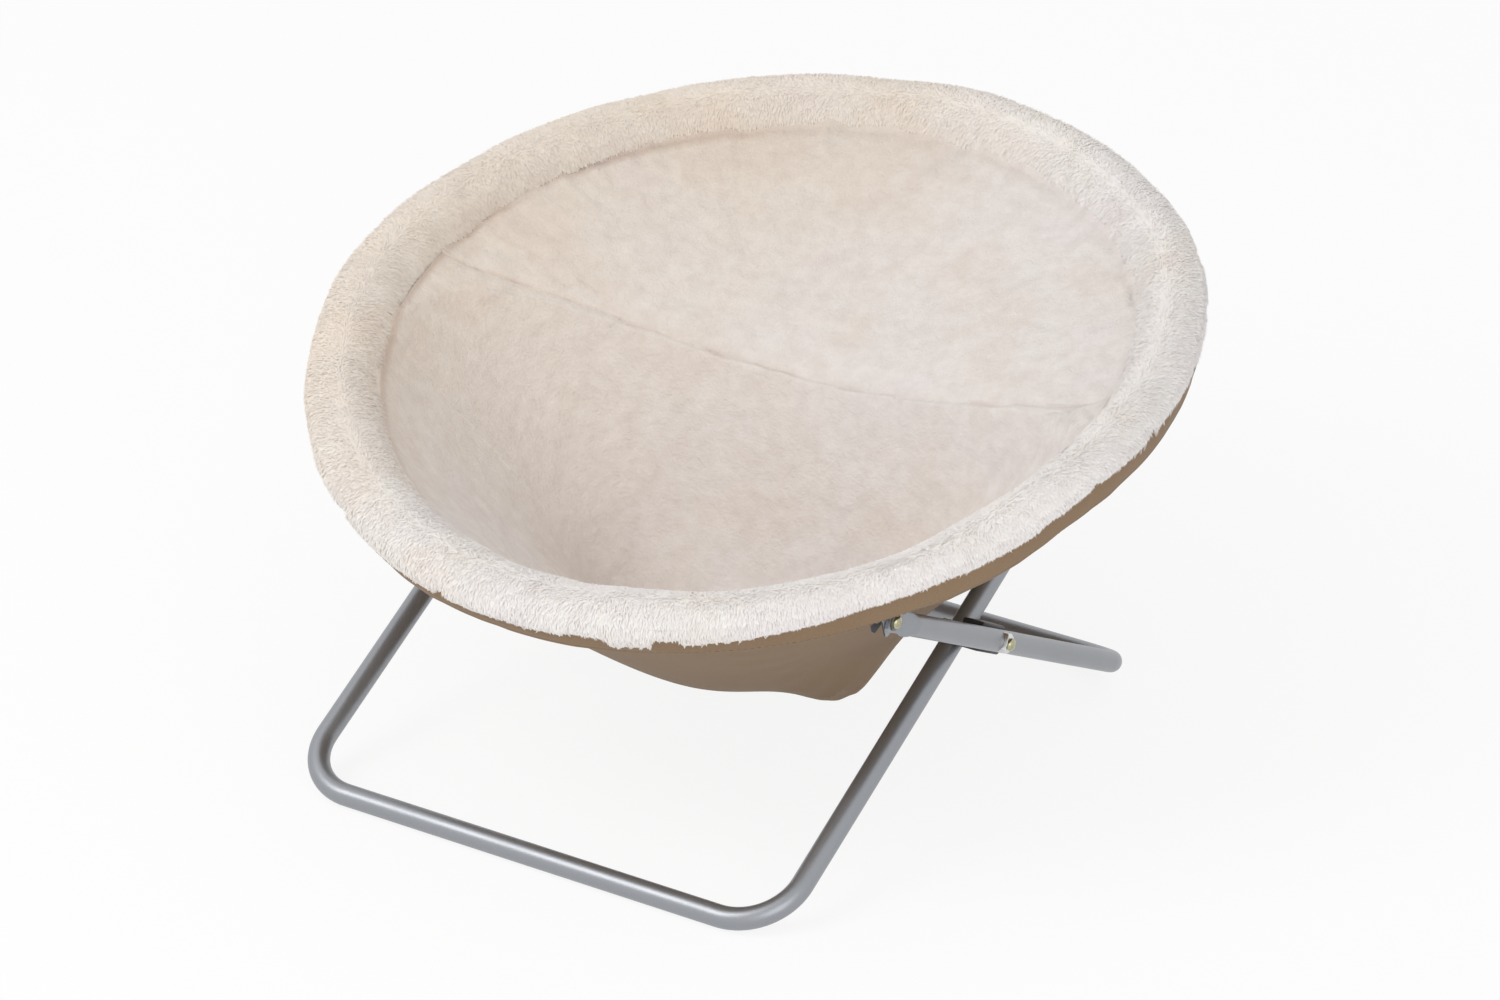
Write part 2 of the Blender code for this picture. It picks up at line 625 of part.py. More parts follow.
def leg_joint(side):
    """The pivot where a rear leg crosses a front leg: bolt, washers, spacer, and the stud's cap nut."""
    hand = "right" if side > 0.0 else "left"
    corner_radius = LEG_TUBE_RADIUS / math.cos(math.pi / LEG_SIDES) + SEAT_GAP
    outer_x = rear_leg_half_width + corner_radius
    seat_x = outer_x + PIVOT_WASHER_STAND
    face_x = FRONT_LEG_HALF_WIDTH + corner_radius
    along_rear = Matrix.Translation((side * rear_leg_half_width, leg_pivot.y, leg_pivot.z))
    along_rear = along_rear @ rear_direction.to_track_quat("Z", "Y").to_matrix().to_4x4()
    reach = SPACER_LENGTH
    saddle = cylinder("saddle_" + hand, corner_radius, -reach, reach, sides=24)
    saddle_cutter = add_cutter("saddle_" + hand, saddle, along_rear)
    hole = hole_cutter("pivot_" + hand, leg_pivot, side, FRONT_LEG_HALF_WIDTH - 2.0 * LEG_TUBE_RADIUS, seat_x)

    block_high = rear_leg_half_width - corner_radius + SPACER_LIP
    middle_x = side * ((face_x + block_high) / 2.0 - rear_leg_half_width)
    block = bmesh.new()
    size = Matrix.Diagonal((block_high - face_x, SPACER_HEIGHT, SPACER_LENGTH, 1.0))
    bmesh.ops.create_cube(block, size=1.0, matrix=Matrix.Translation((middle_x, 0.0, 0.0)) @ size)
    spacer = add_part("leg_pivot_spacer_" + hand, mesh_from(block, "spacer_" + hand), BLACK, "rear_legs", along_rear)
    rounding = spacer.modifiers.new("rounding", "BEVEL")
    rounding.width = SPACER_ROUNDING
    rounding.segments = 1
    cut(spacer, saddle_cutter)
    cut(spacer, hole)

    disc = cylinder("washer_" + hand, PIVOT_WASHER_RADIUS, -LEG_TUBE_RADIUS / 2.0 - PIVOT_WASHER_STAND, 0.0)
    washer = add_part("leg_pivot_washer_" + hand, disc, ZINC, "rear_legs", outward_matrix(leg_pivot, side, seat_x))
    cut(washer, saddle_cutter)
    cut(washer, hole)

    headed_pin("leg_pivot_bolt_" + hand, BOLT_HEAD_RADIUS, BOLT_HEAD_HEIGHT, BOLT_RADIUS,
               seat_x + SEAT_GAP - face_x, ZINC, "rear_legs", outward_matrix(leg_pivot, side, seat_x + SEAT_GAP))
    inner_x = FRONT_LEG_HALF_WIDTH - corner_radius
    stud = FRONT_LEG_HALF_WIDTH + LEG_TUBE_RADIUS - inner_x
    profile = dome(NUT_RADIUS, CAP_HEIGHT)
    profile = [(radius, height + NUT_HEIGHT) for radius, height in profile]
    profile += [(NUT_RADIUS, 0.0), (BOLT_RADIUS, 0.0), (BOLT_RADIUS, -stud), (0.0, -stud)]
    inward = outward_matrix(leg_pivot, side, inner_x) @ Matrix.Rotation(math.pi, 4, "X")
    turned("leg_pivot_nut_" + hand, profile, ZINC, "front_legs", inward)
    cut(rear_legs, hole)
    cut(front_legs, hole)


def ring_hinge_joint(side, inner_plate, outer_plate):
    """The rivet and washer that join a half hoop's end plates."""
    hand = "right" if side > 0.0 else "left"
    outer_face = outer_plate + PLATE_HALF_THICKNESS + SEAT_GAP
    inner_face = inner_plate - PLATE_HALF_THICKNESS - SEAT_GAP
    length = outer_face - inner_face
    profile = dome(HINGE_HEAD_RADIUS, HINGE_HEAD_HEIGHT)
    tail = [(radius, -length - height) for radius, height in reversed(dome(HINGE_HEAD_RADIUS, HINGE_HEAD_HEIGHT))]
    profile += [(BOLT_RADIUS, 0.0), (BOLT_RADIUS, -length)] + tail
    turned("hoop_hinge_rivet_" + hand, profile, STEEL, "rear_ring", outward_matrix(ring_hinge, side, outer_face))

    half = HINGE_WASHER_THICKNESS / 2.0
    bore = BOLT_RADIUS + HOLE_CLEARANCE
    washer = [(bore, half), (HINGE_WASHER_RADIUS, half), (HINGE_WASHER_RADIUS, -half), (bore, -half), (bore, half)]
    middle = (inner_plate + outer_plate) / 2.0
    turned("hoop_hinge_washer_" + hand, washer, BLACK, "rear_ring", outward_matrix(ring_hinge, side, middle))
    hole = hole_cutter("hoop_hinge_" + hand, ring_hinge, side, inner_face, outer_face)
    cut(front_hoop, hole)
    cut(rear_hoop, hole)


def swept_band(name, front, outline, look, body):
    """A closed outline, in distances out from and above the hoop's centre line, swept round a half hoop."""
    sections = []
    angles = hoop_angles(front)
    half_gap = SEAT_GAP / 2.0 / HOOP_RADIUS
    angles[-1] += -half_gap if front else half_gap
    for angle in angles:
        x, v = math.cos(angle), math.sin(angle)
        sections.append([
            ring_point((HOOP_RADIUS + out) * x, band_v(angle, out, front), up) for out, up in outline
        ])
    piece = add_part(name, loft(name, sections, cap_start=False), look, body)
    mirror_half(piece)
    return piece


def band_v(angle, out, front):
    """How far back a swept point lies, kept on its own side of the hinge's line."""
    v = (HOOP_RADIUS + out) * math.sin(angle)
    line = -HINGE_FORWARD
    margin = SEAT_GAP / 2.0
    last = abs(angle - hinge_angle) < HOOP_STEP / 2.0
    if last:
        return line - margin if front else line + margin
    return min(v, line - margin) if front else max(v, line + margin)


def band_outline():
    """The canvas sleeve: a C round the hoop's tube, open to the inside of the nest."""
    outer = [arc_point(band_outer, turn) for turn in BAND_SHARES]
    inner = [arc_point(band_inner, turn) for turn in BAND_SHARES]
    return outer + inner[::-1]


def arc_point(radius, degrees):
    turn = math.radians(degrees)
    return radius * math.cos(turn), radius * math.sin(turn)


def roll_outer():
    """The plush roll's face, from its outer edge over the top to its inner seam."""
    points = []
    for out, up in ROLL_OUTER_SHARES:
        points.append((out * (ROLL_OUT if out > 0.0 else ROLL_IN), up * ROLL_RISE))
    return points


def inset(points, distance):
    """An open outline moved to its right-hand side by a distance."""
    moved = []
    for index, point in enumerate(points):
        before = Vector(points[max(0, index - 1)])
        after = Vector(points[min(len(points) - 1, index + 1)])
        run = (after - before).normalized()
        moved.append((point[0] - run.y * distance, point[1] + run.x * distance))
    return moved


def roll_outline():
    outer = roll_outer()
    return outer + inset(outer, PLUSH)[::-1]


def roll_filling_outline():
    """The wadding inside the roll, which rests on the sleeve."""
    top = inset(roll_outer(), PLUSH + LAYER_GAP)[2:]
    reach = band_outer + LAYER_GAP
    side = (reach * 0.80, reach * 0.75)
    crown = [(-reach * 0.37, reach), (reach * 0.37, reach)]
    bottom = [(out * ROLL_IN, up * ROLL_RISE) for out, up in ROLL_BOTTOM_SHARES]
    return top + bottom + crown + [side]


def rim_reach(toward, line, edge):
    """Distance from the grid's middle, on the line, to a circle round the hoop's middle."""
    return -line * toward.y + math.sqrt((line * toward.y) ** 2 - line ** 2 + edge ** 2)


def ray_directions(front):
    """Directions of the grid's rays. Two of the rear ones meet the ends of the straight seam."""
    if front:
        turns = [math.pi * ray / NEST_RAYS for ray in range(NEST_RAYS + 1)]
        return [Vector((math.cos(turn), -math.sin(turn))) for turn in turns]
    end_x = math.sqrt(lining_edge ** 2 - CHORD_BACK ** 2)
    corner = math.atan2(CHORD_BACK - rear_line, end_x)
    middle_rays = NEST_RAYS - 2 * SIDE_RAYS
    turns = [corner * ray / SIDE_RAYS for ray in range(SIDE_RAYS)]
    turns += [corner + (math.pi - 2.0 * corner) * ray / middle_rays for ray in range(middle_rays)]
    turns += [math.pi - corner * (SIDE_RAYS - ray) / SIDE_RAYS for ray in range(SIDE_RAYS + 1)]
    return [Vector((math.cos(turn), math.sin(turn))) for turn in turns]


def ray_stops(toward, line, front):
    """Places along a ray: the lining's, the back panel's, and the shell's edge."""
    rim = rim_reach(toward, line, lining_edge)
    seam = rim
    if not front and toward.y > MERGE:
        seam = min(rim, (CHORD_BACK - line) / toward.y)
    stops = [seam * share for share in RING_SHARES]
    if not front:
        stops += [seam + (rim - seam) * (step + 1) / PANEL_RINGS for step in range(PANEL_RINGS)]
    return stops + [rim_reach(toward, line, nest_edge)]


def nest_layer(name, front, top, bottom, look, body, reach="rim"):
    """A closed sheet between two height functions, on a grid that all the nest's layers share."""
    line = front_line if front else rear_line
    seam_stop = len(RING_SHARES)
    bm = bmesh.new()
    centre = bm.verts.new((0.0, line, 0.0))
    rows = []
    for toward in ray_directions(front):
        stops = ray_stops(toward, line, front)
        if reach == "rim":
            stops = stops[:-1]
        if reach == "seam":
            stops = stops[:seam_stop - 1] + [stops[seam_stop - 1] - LAYER_GAP / 2.0]
        if reach == "panel":
            if toward.y * stops[-2] < CHORD_BACK - line - MERGE:
                continue
            stops = [min(stops[seam_stop - 1] + LAYER_GAP / 2.0, stops[-2])] + stops[seam_stop:-1]
        rows.append([bm.verts.new((toward.x * stop, line + toward.y * stop, 0.0)) for stop in stops])
    for row, following in zip(rows, rows[1:]):
        if reach != "panel":
            bm.faces.new((centre, row[0], following[0]))
        for index in range(len(row) - 1):
            bm.faces.new((row[index], row[index + 1], following[index + 1]))
            bm.faces.new((row[index], following[index + 1], following[index]))
    if reach == "panel":
        bm.verts.remove(centre)
    bmesh.ops.remove_doubles(bm, verts=bm.verts[:], dist=MERGE)
    upper = bm.verts[:]
    made = bmesh.ops.extrude_face_region(bm, geom=bm.faces[:])
    lower = [element for element in made["geom"] if isinstance(element, bmesh.types.BMVert)]
    for vert in upper:
        vert.co = ring_point(vert.co.x, vert.co.y, top(vert.co.x, vert.co.y))
    for vert in lower:
        vert.co = ring_point(vert.co.x, vert.co.y, bottom(vert.co.x, vert.co.y))
    return add_part(name, mesh_from(bm, name), look, body)


clear_scene()
parts = new_collection("pet_nest_bed")
cutters = new_collection("cutters")
bodies = make_bodies()

washer_gap = HINGE_WASHER_THICKNESS / 2.0 + SEAT_GAP + PLATE_HALF_THICKNESS
front_hoop = half_hoop("front_hoop", True, hinge_x - washer_gap, "front_ring")
rear_hoop = half_hoop("rear_hoop", False, hinge_x + washer_gap, "rear_ring")
front_legs = leg_frame(
    "front_leg_frame", front_bar, front_direction, FRONT_LEG_HALF_WIDTH, "front_legs",
    pivot_run + UPPER_BEND_START, Vector((0.0, rear_bolt.y, rear_bolt.z)), PAINT,
)
rear_legs = leg_frame(
    "rear_leg_frame", rear_bar, rear_direction, rear_leg_half_width, "rear_legs",
    None, Vector((0.0, front_bolt.y, front_bolt.z)), PAINT,
)

front_slots = []
rear_slots = []
for hand_side in (-1.0, 1.0):
    front_slots.append(bracket("front", hand_side, rear_leg_half_width, front_bolt_v, "front_ring"))
    rear_slots.append(bracket("rear", hand_side, FRONT_LEG_HALF_WIDTH, rear_bolt_v, "rear_ring"))
    cut(rear_legs, hole_cutter("rear_leg_end", front_bolt, hand_side,
                               rear_leg_half_width - PLATE_HALF_THICKNESS,
                               rear_leg_half_width + PLATE_HALF_THICKNESS))
    cut(front_legs, hole_cutter("front_leg_end", rear_bolt, hand_side,
                                FRONT_LEG_HALF_WIDTH - PLATE_HALF_THICKNESS,
                                FRONT_LEG_HALF_WIDTH + PLATE_HALF_THICKNESS))
    leg_joint(hand_side)
    ring_hinge_joint(hand_side, hinge_x - washer_gap, hinge_x + washer_gap)

for half, is_front, slots in (("front", True, front_slots), ("rear", False, rear_slots)):
    half_body = half + "_ring"
    sleeve = swept_band("hoop_sleeve_" + half, is_front, band_outline(), CLOTH, half_body)
    swept_band("border_plush_" + half, is_front, roll_outline(), PILE, half_body)
    swept_band("border_filling_" + half, is_front, roll_filling_outline(), FIBRE, half_body)
    shell = nest_layer("outer_shell_" + half, is_front, shell_top, shell_bottom, CLOTH, half_body, "edge")
    nest_layer("nest_filling_" + half, is_front, fill_top, fill_bottom, FIBRE, half_body)
    for slot_cutter in slots:
        cut(sleeve, slot_cutter)
        cut(shell, slot_cutter)

nest_layer("lining_front", True, lining_top, lining_bottom, PILE, "front_ring")
nest_layer("lining_rear", False, lining_top, lining_bottom, PILE, "rear_ring", "seam")
nest_layer("back_panel", False, panel_top, panel_bottom, PILE, "rear_ring", "panel")
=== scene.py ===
"""Looks for a folding nest bed: plush nest in a canvas-covered steel hoop on two crossed tube legs."""
import math

import bmesh
import bpy
import numpy as np
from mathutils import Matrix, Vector


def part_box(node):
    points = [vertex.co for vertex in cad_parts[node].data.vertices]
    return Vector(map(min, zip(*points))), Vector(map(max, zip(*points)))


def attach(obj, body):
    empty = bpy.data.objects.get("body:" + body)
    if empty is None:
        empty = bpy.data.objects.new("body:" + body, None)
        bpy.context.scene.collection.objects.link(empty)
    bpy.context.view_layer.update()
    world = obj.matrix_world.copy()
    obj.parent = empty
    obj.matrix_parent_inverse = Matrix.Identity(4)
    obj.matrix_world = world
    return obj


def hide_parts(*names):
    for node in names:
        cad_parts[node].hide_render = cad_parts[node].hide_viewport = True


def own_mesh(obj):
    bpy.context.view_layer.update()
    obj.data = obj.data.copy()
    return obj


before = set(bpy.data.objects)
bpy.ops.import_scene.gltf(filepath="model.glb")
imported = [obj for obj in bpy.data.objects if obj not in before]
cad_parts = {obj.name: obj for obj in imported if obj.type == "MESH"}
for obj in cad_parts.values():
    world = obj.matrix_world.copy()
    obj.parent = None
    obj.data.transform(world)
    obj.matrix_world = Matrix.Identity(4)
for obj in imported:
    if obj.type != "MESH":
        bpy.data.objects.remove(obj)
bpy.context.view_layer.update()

# Sizes that the frame has, in metres
HOOP_RADIUS = 0.305
HOOP_TUBE_RADIUS = 0.0065
HINGE_FORWARD = 0.067
FRONT_TILT = math.radians(17.6)
REAR_TILT = math.radians(10.9)
LEG_TUBE_RADIUS = 0.008
LEG_BEND_RADIUS = 0.043
BAR_SPACING = 0.451
FRONT_BAR_AHEAD = 0.23161157
FRONT_LEG_HALF_WIDTH = 0.196
REAR_LEG_HALF_WIDTH = 0.226
FRONT_LEG_SLOPE = math.radians(24.9)
REAR_LEG_SLOPE = math.radians(29.85)
REAR_LEG_LENGTH = 0.399
UPPER_BEND_START = 0.075
UPPER_BEND_RADIUS = 0.14
PLATE_HALF_THICKNESS = 0.0015
LEG_PLATE_HALF_HEIGHT = 0.0076
HINGE_PLATE_HALF_HEIGHT = 0.006
HINGE_PRESS_START = 0.030
HINGE_PRESS_END = 0.012
HINGE_WASHER_HALF = 0.00035
BOLT_DROP = 0.0155
SEAT_GAP = 0.0003
ROLL_OUT = 0.0162
ROLL_RISE = 0.026
ROLL_IN = 0.0375
DISH_DEPTH = 0.066
POCKET_DEPTH = 0.170
POCKET_FORWARD = 0.107
POCKET_FLOOR_SHARE = 0.25
POCKET_SOFTNESS = 6.0
CHORD_BACK = 0.037
CORNER_DEPTH = 0.034
CORNER_SIDE = 0.107
CORNER_FORWARD = 0.107
CORNER_SPREAD = 0.037
EDGE_POWER = 6.0
SHELL_THICKNESS = 0.0018
SHELL_DROP = 0.002
LAYER_GAP = 0.0005
FILL_DEPTH = 0.012
LEAST_FILL = 0.0085
LEAST_PAD = 0.002
PAD_UNDER_ROLL = 0.006
SHELL_UNDER_BRACKETS = 0.0032
NORMAL_BLEND = 0.17
BAND_EDGE = 0.0093
HINGE_ANGLE = -math.asin(HINGE_FORWARD / HOOP_RADIUS)
NEST_EDGE = HOOP_RADIUS - BAND_EDGE - LAYER_GAP
LINING_EDGE = HOOP_RADIUS - ROLL_IN - LAYER_GAP

# Brackets, and the ends of the legs pressed flat for them
BRACKET_ROOM_LOW = 0.0203
BRACKET_ROOM_HIGH = 0.0040
BRACKET_ROOM_MARGIN = 0.002
BRACKET_ROOM_FADE = 0.012
BRACKET_AHEAD = 0.0125
BRACKET_BEHIND = 0.0095
BRACKET_LIP = 0.0092
BRACKET_TOP = 0.0068
BRACKET_WIDTH = 0.0112
BRACKET_WALL = 0.0016
BRACKET_BELOW = 0.0085
BRACKET_BEND = 0.0024
BRACKET_INNER_BEND = 0.0009
BRACKET_CHAMFER = ((0.0, 0.0022), (0.0008, 0.0010), (0.0022, 0.0))
PRESS_START = 0.026
PRESS_END = 0.0115
PLATE_ENDS = ((0.0, 0.0078), (0.0045, 0.0078), (0.0060, 0.0076), (0.0069, 0.0070), (0.0074, 0.0060))

# The roll's section from its shoulder to its inner seam, in shares of its reach, and its foot in metres
ROLL_SHARES = ((0.57, 0.81), (-0.08, 1.0), (-0.453, 0.9), (-0.773, 0.58), (-1.0, 0.115), (-0.985, -0.06))
ROLL_UNDER = np.array([
    (-0.030, -0.0012), (-0.012, 0.001), (-0.0075, 0.0105), (0.0035, 0.0108), (0.0078, 0.0085),
])
ROLL_CENTRE = (-0.0105, 0.005)
SHOULDER_SHARE = 0.25
HEM_BULGE = 0.22
HEM_TUCK = (-0.0024, 0.0006)
PILE_LENGTH = 0.0042
PILE_LENGTHS = (0.0020, 0.0072)
LOCK_LENGTHS = (0.0032, 0.0082)
BLADE_HALF_WIDTHS = (0.00036, 0.00062)
LOCK_SPREAD = 0.0007
LOCK_HALF_WIDTH = 0.0040
PILE_ROOT_DEPTH = 0.0006
# Where the pile's hem sits: degrees round the hoop, 0 right and 90 rear, and metres up and out
HEM_PLACES = (
    (-180.0, 0.0015, 0.0130), (-125.0, 0.0005, 0.0130), (-108.0, 0.0020, 0.0132), (-94.0, 0.0035, 0.0118),
    (-85.0, 0.0050, 0.0113), (-77.0, 0.0040, 0.0130), (-69.0, 0.0060, 0.0116), (-65.0, 0.0070, 0.0109),
    (-55.0, 0.0105, 0.0110), (-45.0, 0.0155, 0.0100), (-35.0, 0.0145, 0.0108), (-25.0, 0.0120, 0.0120),
    (-18.0, 0.0140, 0.0112), (-9.0, 0.0140, 0.0117), (10.0, 0.0120, 0.0120), (40.0, 0.0075, 0.0125),
    (90.0, 0.0050, 0.0130), (140.0, 0.0040, 0.0130), (180.0, 0.0015, 0.0130),
)
# How far the canvas stands off the hoop's middle below it, at degrees round the hoop
BAND_RADII = (
    (-180.0, 0.0096), (-125.0, 0.0108), (-108.0, 0.0128), (-94.0, 0.0106), (-77.0, 0.0100), (-69.0, 0.0083),
    (-62.0, 0.0074), (-40.0, 0.0073), (-35.0, 0.0104), (-25.0, 0.0103), (-18.0, 0.0084), (-9.0, 0.0096),
    (20.0, 0.0098), (55.0, 0.0092), (90.0, 0.0102), (130.0, 0.0094), (180.0, 0.0096),
)
BAND_OUTER = 0.0094
BAND_FLOOR = 0.00657
SLEEVE_TURNS = np.linspace(-166.0, -20.0, 26)
SLEEVE_STEPS = {"front": 420, "rear": 540}
FACING_STEPS = 18
FACING_DEPTH = 0.0010
FACING_TUCK = 0.0014
CLOTH_THICKNESS = 0.0009
SEAM_DROOP = 0.75
SEAM_DROOP_START = 0.05
DRAW_SIDE = 0.235

# How much of their height soft pieces keep as the bed folds
ROLL_KEEP = 0.35
NEST_KEEP = 0.2

# Fineness of the visible surfaces
RAYS = 264
SIDE_RAYS = RAYS // 8
SEAM_STOPS = 64
RIM_STOPS = 36
ROLL_STEPS = 760
ROLL_POINTS = 38
TUBE_SIDES = 40
TURNED_SIDES = 40
SADDLE_SIDES = 64
STITCH_SIDES = 6
STITCH_STATIONS = 5
BLADES = 98000
LOCKS = 760
LOCK_BLADES = 14
HALF_SHARES = {"front": 0.43, "rear": 0.57}
JOIN_DISTANCE = 0.000005
FINE_JOIN_DISTANCE = 0.000002
SHARP_ANGLE = math.radians(40.0)

RNG = np.random.default_rng(29)
X_AXIS = np.array([1.0, 0.0, 0.0])
WHITE = (1.0, 1.0, 1.0, 1.0)


def hinge_point():
    """The hoop's hinge on the middle plane, from the box of its right rivet."""
    low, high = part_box("hoop_hinge_rivet_right")
    return np.array([0.0, (low[1] + high[1]) / 2.0, (low[2] + high[2]) / 2.0])


HINGE = hinge_point()
TILTS = {"front": FRONT_TILT, "rear": REAR_TILT}
ALONG = {half: np.array([0.0, math.cos(tilt), math.sin(tilt)]) for half, tilt in TILTS.items()}
NORMAL = {half: np.array([0.0, -math.sin(tilt), math.cos(tilt)]) for half, tilt in TILTS.items()}


def smooth_step(value):
    share = np.clip(value, 0.0, 1.0)
    return share * share * (3.0 - 2.0 * share)


def groove(distance, width):
    """A smooth dip, 1 at a seam and 0 away from it."""
    return np.exp(-(distance / width) ** 2)


def unit(vectors):
    return vectors / np.maximum(np.linalg.norm(vectors, axis=-1, keepdims=True), 1e-12)


def ring_points(x, v, w):
    """World points of the nest: x right, v back from the hoop's middle, w up from its plane."""
    x, v, w = np.broadcast_arrays(x, v, w)
    run = v + HINGE_FORWARD
    along = np.where((run > 0.0)[..., None], ALONG["rear"], ALONG["front"])
    share = smooth_step(0.5 + run / (2.0 * NORMAL_BLEND))
    tilt = FRONT_TILT + (REAR_TILT - FRONT_TILT) * share
    normal = np.stack([np.zeros_like(tilt), -np.sin(tilt), np.cos(tilt)], axis=-1)
    return HINGE + X_AXIS * x[..., None] + along * run[..., None] + normal * w[..., None]


def hoop_place(angle, out, up):
    """World points at distances out from and above the hoop's centre line, at angles round it."""
    radius = HOOP_RADIUS + out
    return ring_points(radius * np.cos(angle), radius * np.sin(angle), up)


def half_angles(half, steps):
    """Angles round one half of the hoop, from one hinge over the middle to the other."""
    if half == "front":
        return np.linspace(math.pi - HINGE_ANGLE, 2.0 * math.pi + HINGE_ANGLE, steps)
    return np.linspace(HINGE_ANGLE, math.pi - HINGE_ANGLE, steps)


def around_hoop(angle, places, column=1):
    """A value from a table by degrees round the hoop."""
    knots = np.array(places)
    return np.interp((np.degrees(angle) + 180.0) % 360.0 - 180.0, knots[:, 0], knots[:, column])


def tan_wear_and_shade(angle):
    """How far the pile leans to tan, which is most at the rear left: partly wear, and partly painted shade on
    that side.
    """
    return smooth_step(0.2 + 0.85 * np.cos(angle - math.radians(157.0)))


# Noise, and places for it

def lattice(ix, iy, iz, seed):
    """A repeatable number from -1 to 1 for each whole place."""
    mask = 0xFFFFFFFF
    h = (ix * 73856093 ^ iy * 19349663 ^ iz * 83492791 ^ seed * 668265263) & mask
    h = ((h ^ (h >> 15)) * 2246822519) & mask
    h = ((h ^ (h >> 13)) * 3266489917) & mask
    return ((h ^ (h >> 16)) & mask) / (mask / 2.0) - 1.0


def noise(points, size, seed=1, octaves=1):
    """Smooth noise from -1 to 1 with bumps of a size, at an array of points."""
    total, weight, weights = 0.0, 1.0, 0.0
    for octave in range(octaves):
        p = points / size + 17.3 * seed
        cell = np.floor(p).astype(np.int64)
        f = p - cell
        u = f * f * f * (f * (f * 6.0 - 15.0) + 10.0)
        value = 0.0
        for dx in (0, 1):
            for dy in (0, 1):
                for dz in (0, 1):
                    corner = lattice(cell[..., 0] + dx, cell[..., 1] + dy, cell[..., 2] + dz, seed + octave)
                    part = (u[..., 0] if dx else 1.0 - u[..., 0]) * (u[..., 1] if dy else 1.0 - u[..., 1])
                    value = value + corner * part * (u[..., 2] if dz else 1.0 - u[..., 2])
        total = total + value * weight
        weights += weight
        weight *= 0.5
        size = size * 0.5
    return total / weights


def bumps(points, *layers):
    """Layers of noise, each with its height, size, seed and octaves."""
    return sum(height * noise(points, size, seed, octaves) for height, size, seed, octaves in layers)


def plan(x, v):
    """A place for noise on the nest, from its plan."""
    return np.stack([x, v, 0.0 * x], axis=-1)


def ring_place(angle, height=0.0):
    """A place for noise that closes on itself round the hoop."""
    return np.stack([np.cos(angle) * HOOP_RADIUS, np.sin(angle) * HOOP_RADIUS, height + 0.0 * angle], axis=-1)


# Materials

def put(tree, value, socket):
    """Links a socket to another, or sets its constant."""
    if isinstance(value, bpy.types.NodeSocket):
        tree.links.new(value, socket)
    else:
        socket.default_value = (*value, 1.0) if isinstance(value, tuple) and len(value) == 3 else value


def set_up(tree, node, values):
    """Gives a node its inputs and settings by name, with _ for a space."""
    for key, value in values.items():
        name = key.replace("_", " ")
        if name in node.inputs:
            put(tree, value, node.inputs[name])
        else:
            setattr(node, key, value)
    return node


def add_node(tree, kind, **values):
    return set_up(tree, tree.nodes.new(kind), values)


def new_material(name):
    """A material, its tree, and the object's own coordinates there."""
    material = bpy.data.materials.new(name)
    material.use_nodes = True
    tree = material.node_tree
    return material, tree, add_node(tree, "ShaderNodeTexCoord").outputs["Object"]


def set_shader(tree, **values):
    return set_up(tree, tree.nodes["Principled BSDF"], values)


def grain(tree, place, scale, detail, rough):
    made = add_node(tree, "ShaderNodeTexNoise", Vector=place, Scale=scale, Detail=detail, Roughness=rough)
    return made.outputs["Fac"]


def ramp(tree, source, *stops):
    made = add_node(tree, "ShaderNodeValToRGB", Fac=source)
    elements = made.color_ramp.elements
    while len(elements) < len(stops):
        elements.new(0.5)
    for element, (place, colour) in zip(elements, stops):
        element.position = place
        element.color = (*colour, 1.0)
    return made.outputs["Color"]


def bump(tree, height, strength, distance, **below):
    made = add_node(tree, "ShaderNodeBump", Height=height, Strength=strength, Distance=distance, **below)
    return made.outputs["Normal"]


def mix_colour(tree, factor, first, second, blend="MIX"):
    made = add_node(tree, "ShaderNodeMix", data_type="RGBA", blend_type=blend)
    for value, socket in ((factor, made.inputs[0]), (first, made.inputs[6]), (second, made.inputs[7])):
        put(tree, value, socket)
    return made.outputs[2]


def multiply(tree, first, second):
    return mix_colour(tree, 1.0, first, second, "MULTIPLY")


def toned(tree, colour, name, tone):
    """A colour multiplied by a tone as far as the mesh's number of that name says."""
    share = add_node(tree, "ShaderNodeAttribute", attribute_name=name).outputs["Fac"]
    return multiply(tree, colour, mix_colour(tree, share, WHITE, tone))


def combine(tree, operation, first, second):
    made = add_node(tree, "ShaderNodeMath", operation=operation)
    put(tree, first, made.inputs[0])
    put(tree, second, made.inputs[1])
    return made.outputs[0]


def plush(name, light, shade, fine, fine_depth):
    """Cream pile: faint clumps in its colour, a tan tint that is partly wear and partly painted shade,
    painted shade at its seams, a fine nap in its surface, and sheen.
    """
    material, tree, place = new_material(name)
    base = ramp(tree, grain(tree, place, 75.0, 4.0, 0.6), (0.32, shade), (0.66, light))
    tint = ramp(tree, grain(tree, place, 11.0, 2.0, 0.5),
                (0.36, (0.985, 0.960, 0.930)), (0.5, (1.0, 1.0, 0.99)), (0.64, (0.99, 0.980, 0.985)))
    # Tan tint, partly wear and partly painted shade; then painted shade where the mesh marks its seams.
    colour = toned(tree, multiply(tree, base, tint), "wear_and_shade", (0.955, 0.900, 0.825))
    colour = toned(tree, colour, "seam", (0.62, 0.50, 0.43))
    low = bump(tree, grain(tree, place, fine / 4.5, 2.0, 0.5), 0.35, fine_depth * 2.0)
    nap = bump(tree, grain(tree, place, fine, 4.0, 0.65), 0.45, fine_depth, Normal=low)
    set_shader(tree, Base_Color=colour, Normal=nap, Roughness=0.95, Specular_IOR_Level=0.12,
               Sheen_Weight=0.25, Sheen_Roughness=0.5, Sheen_Tint=(1.0, 0.96, 0.92, 1.0))
    return material


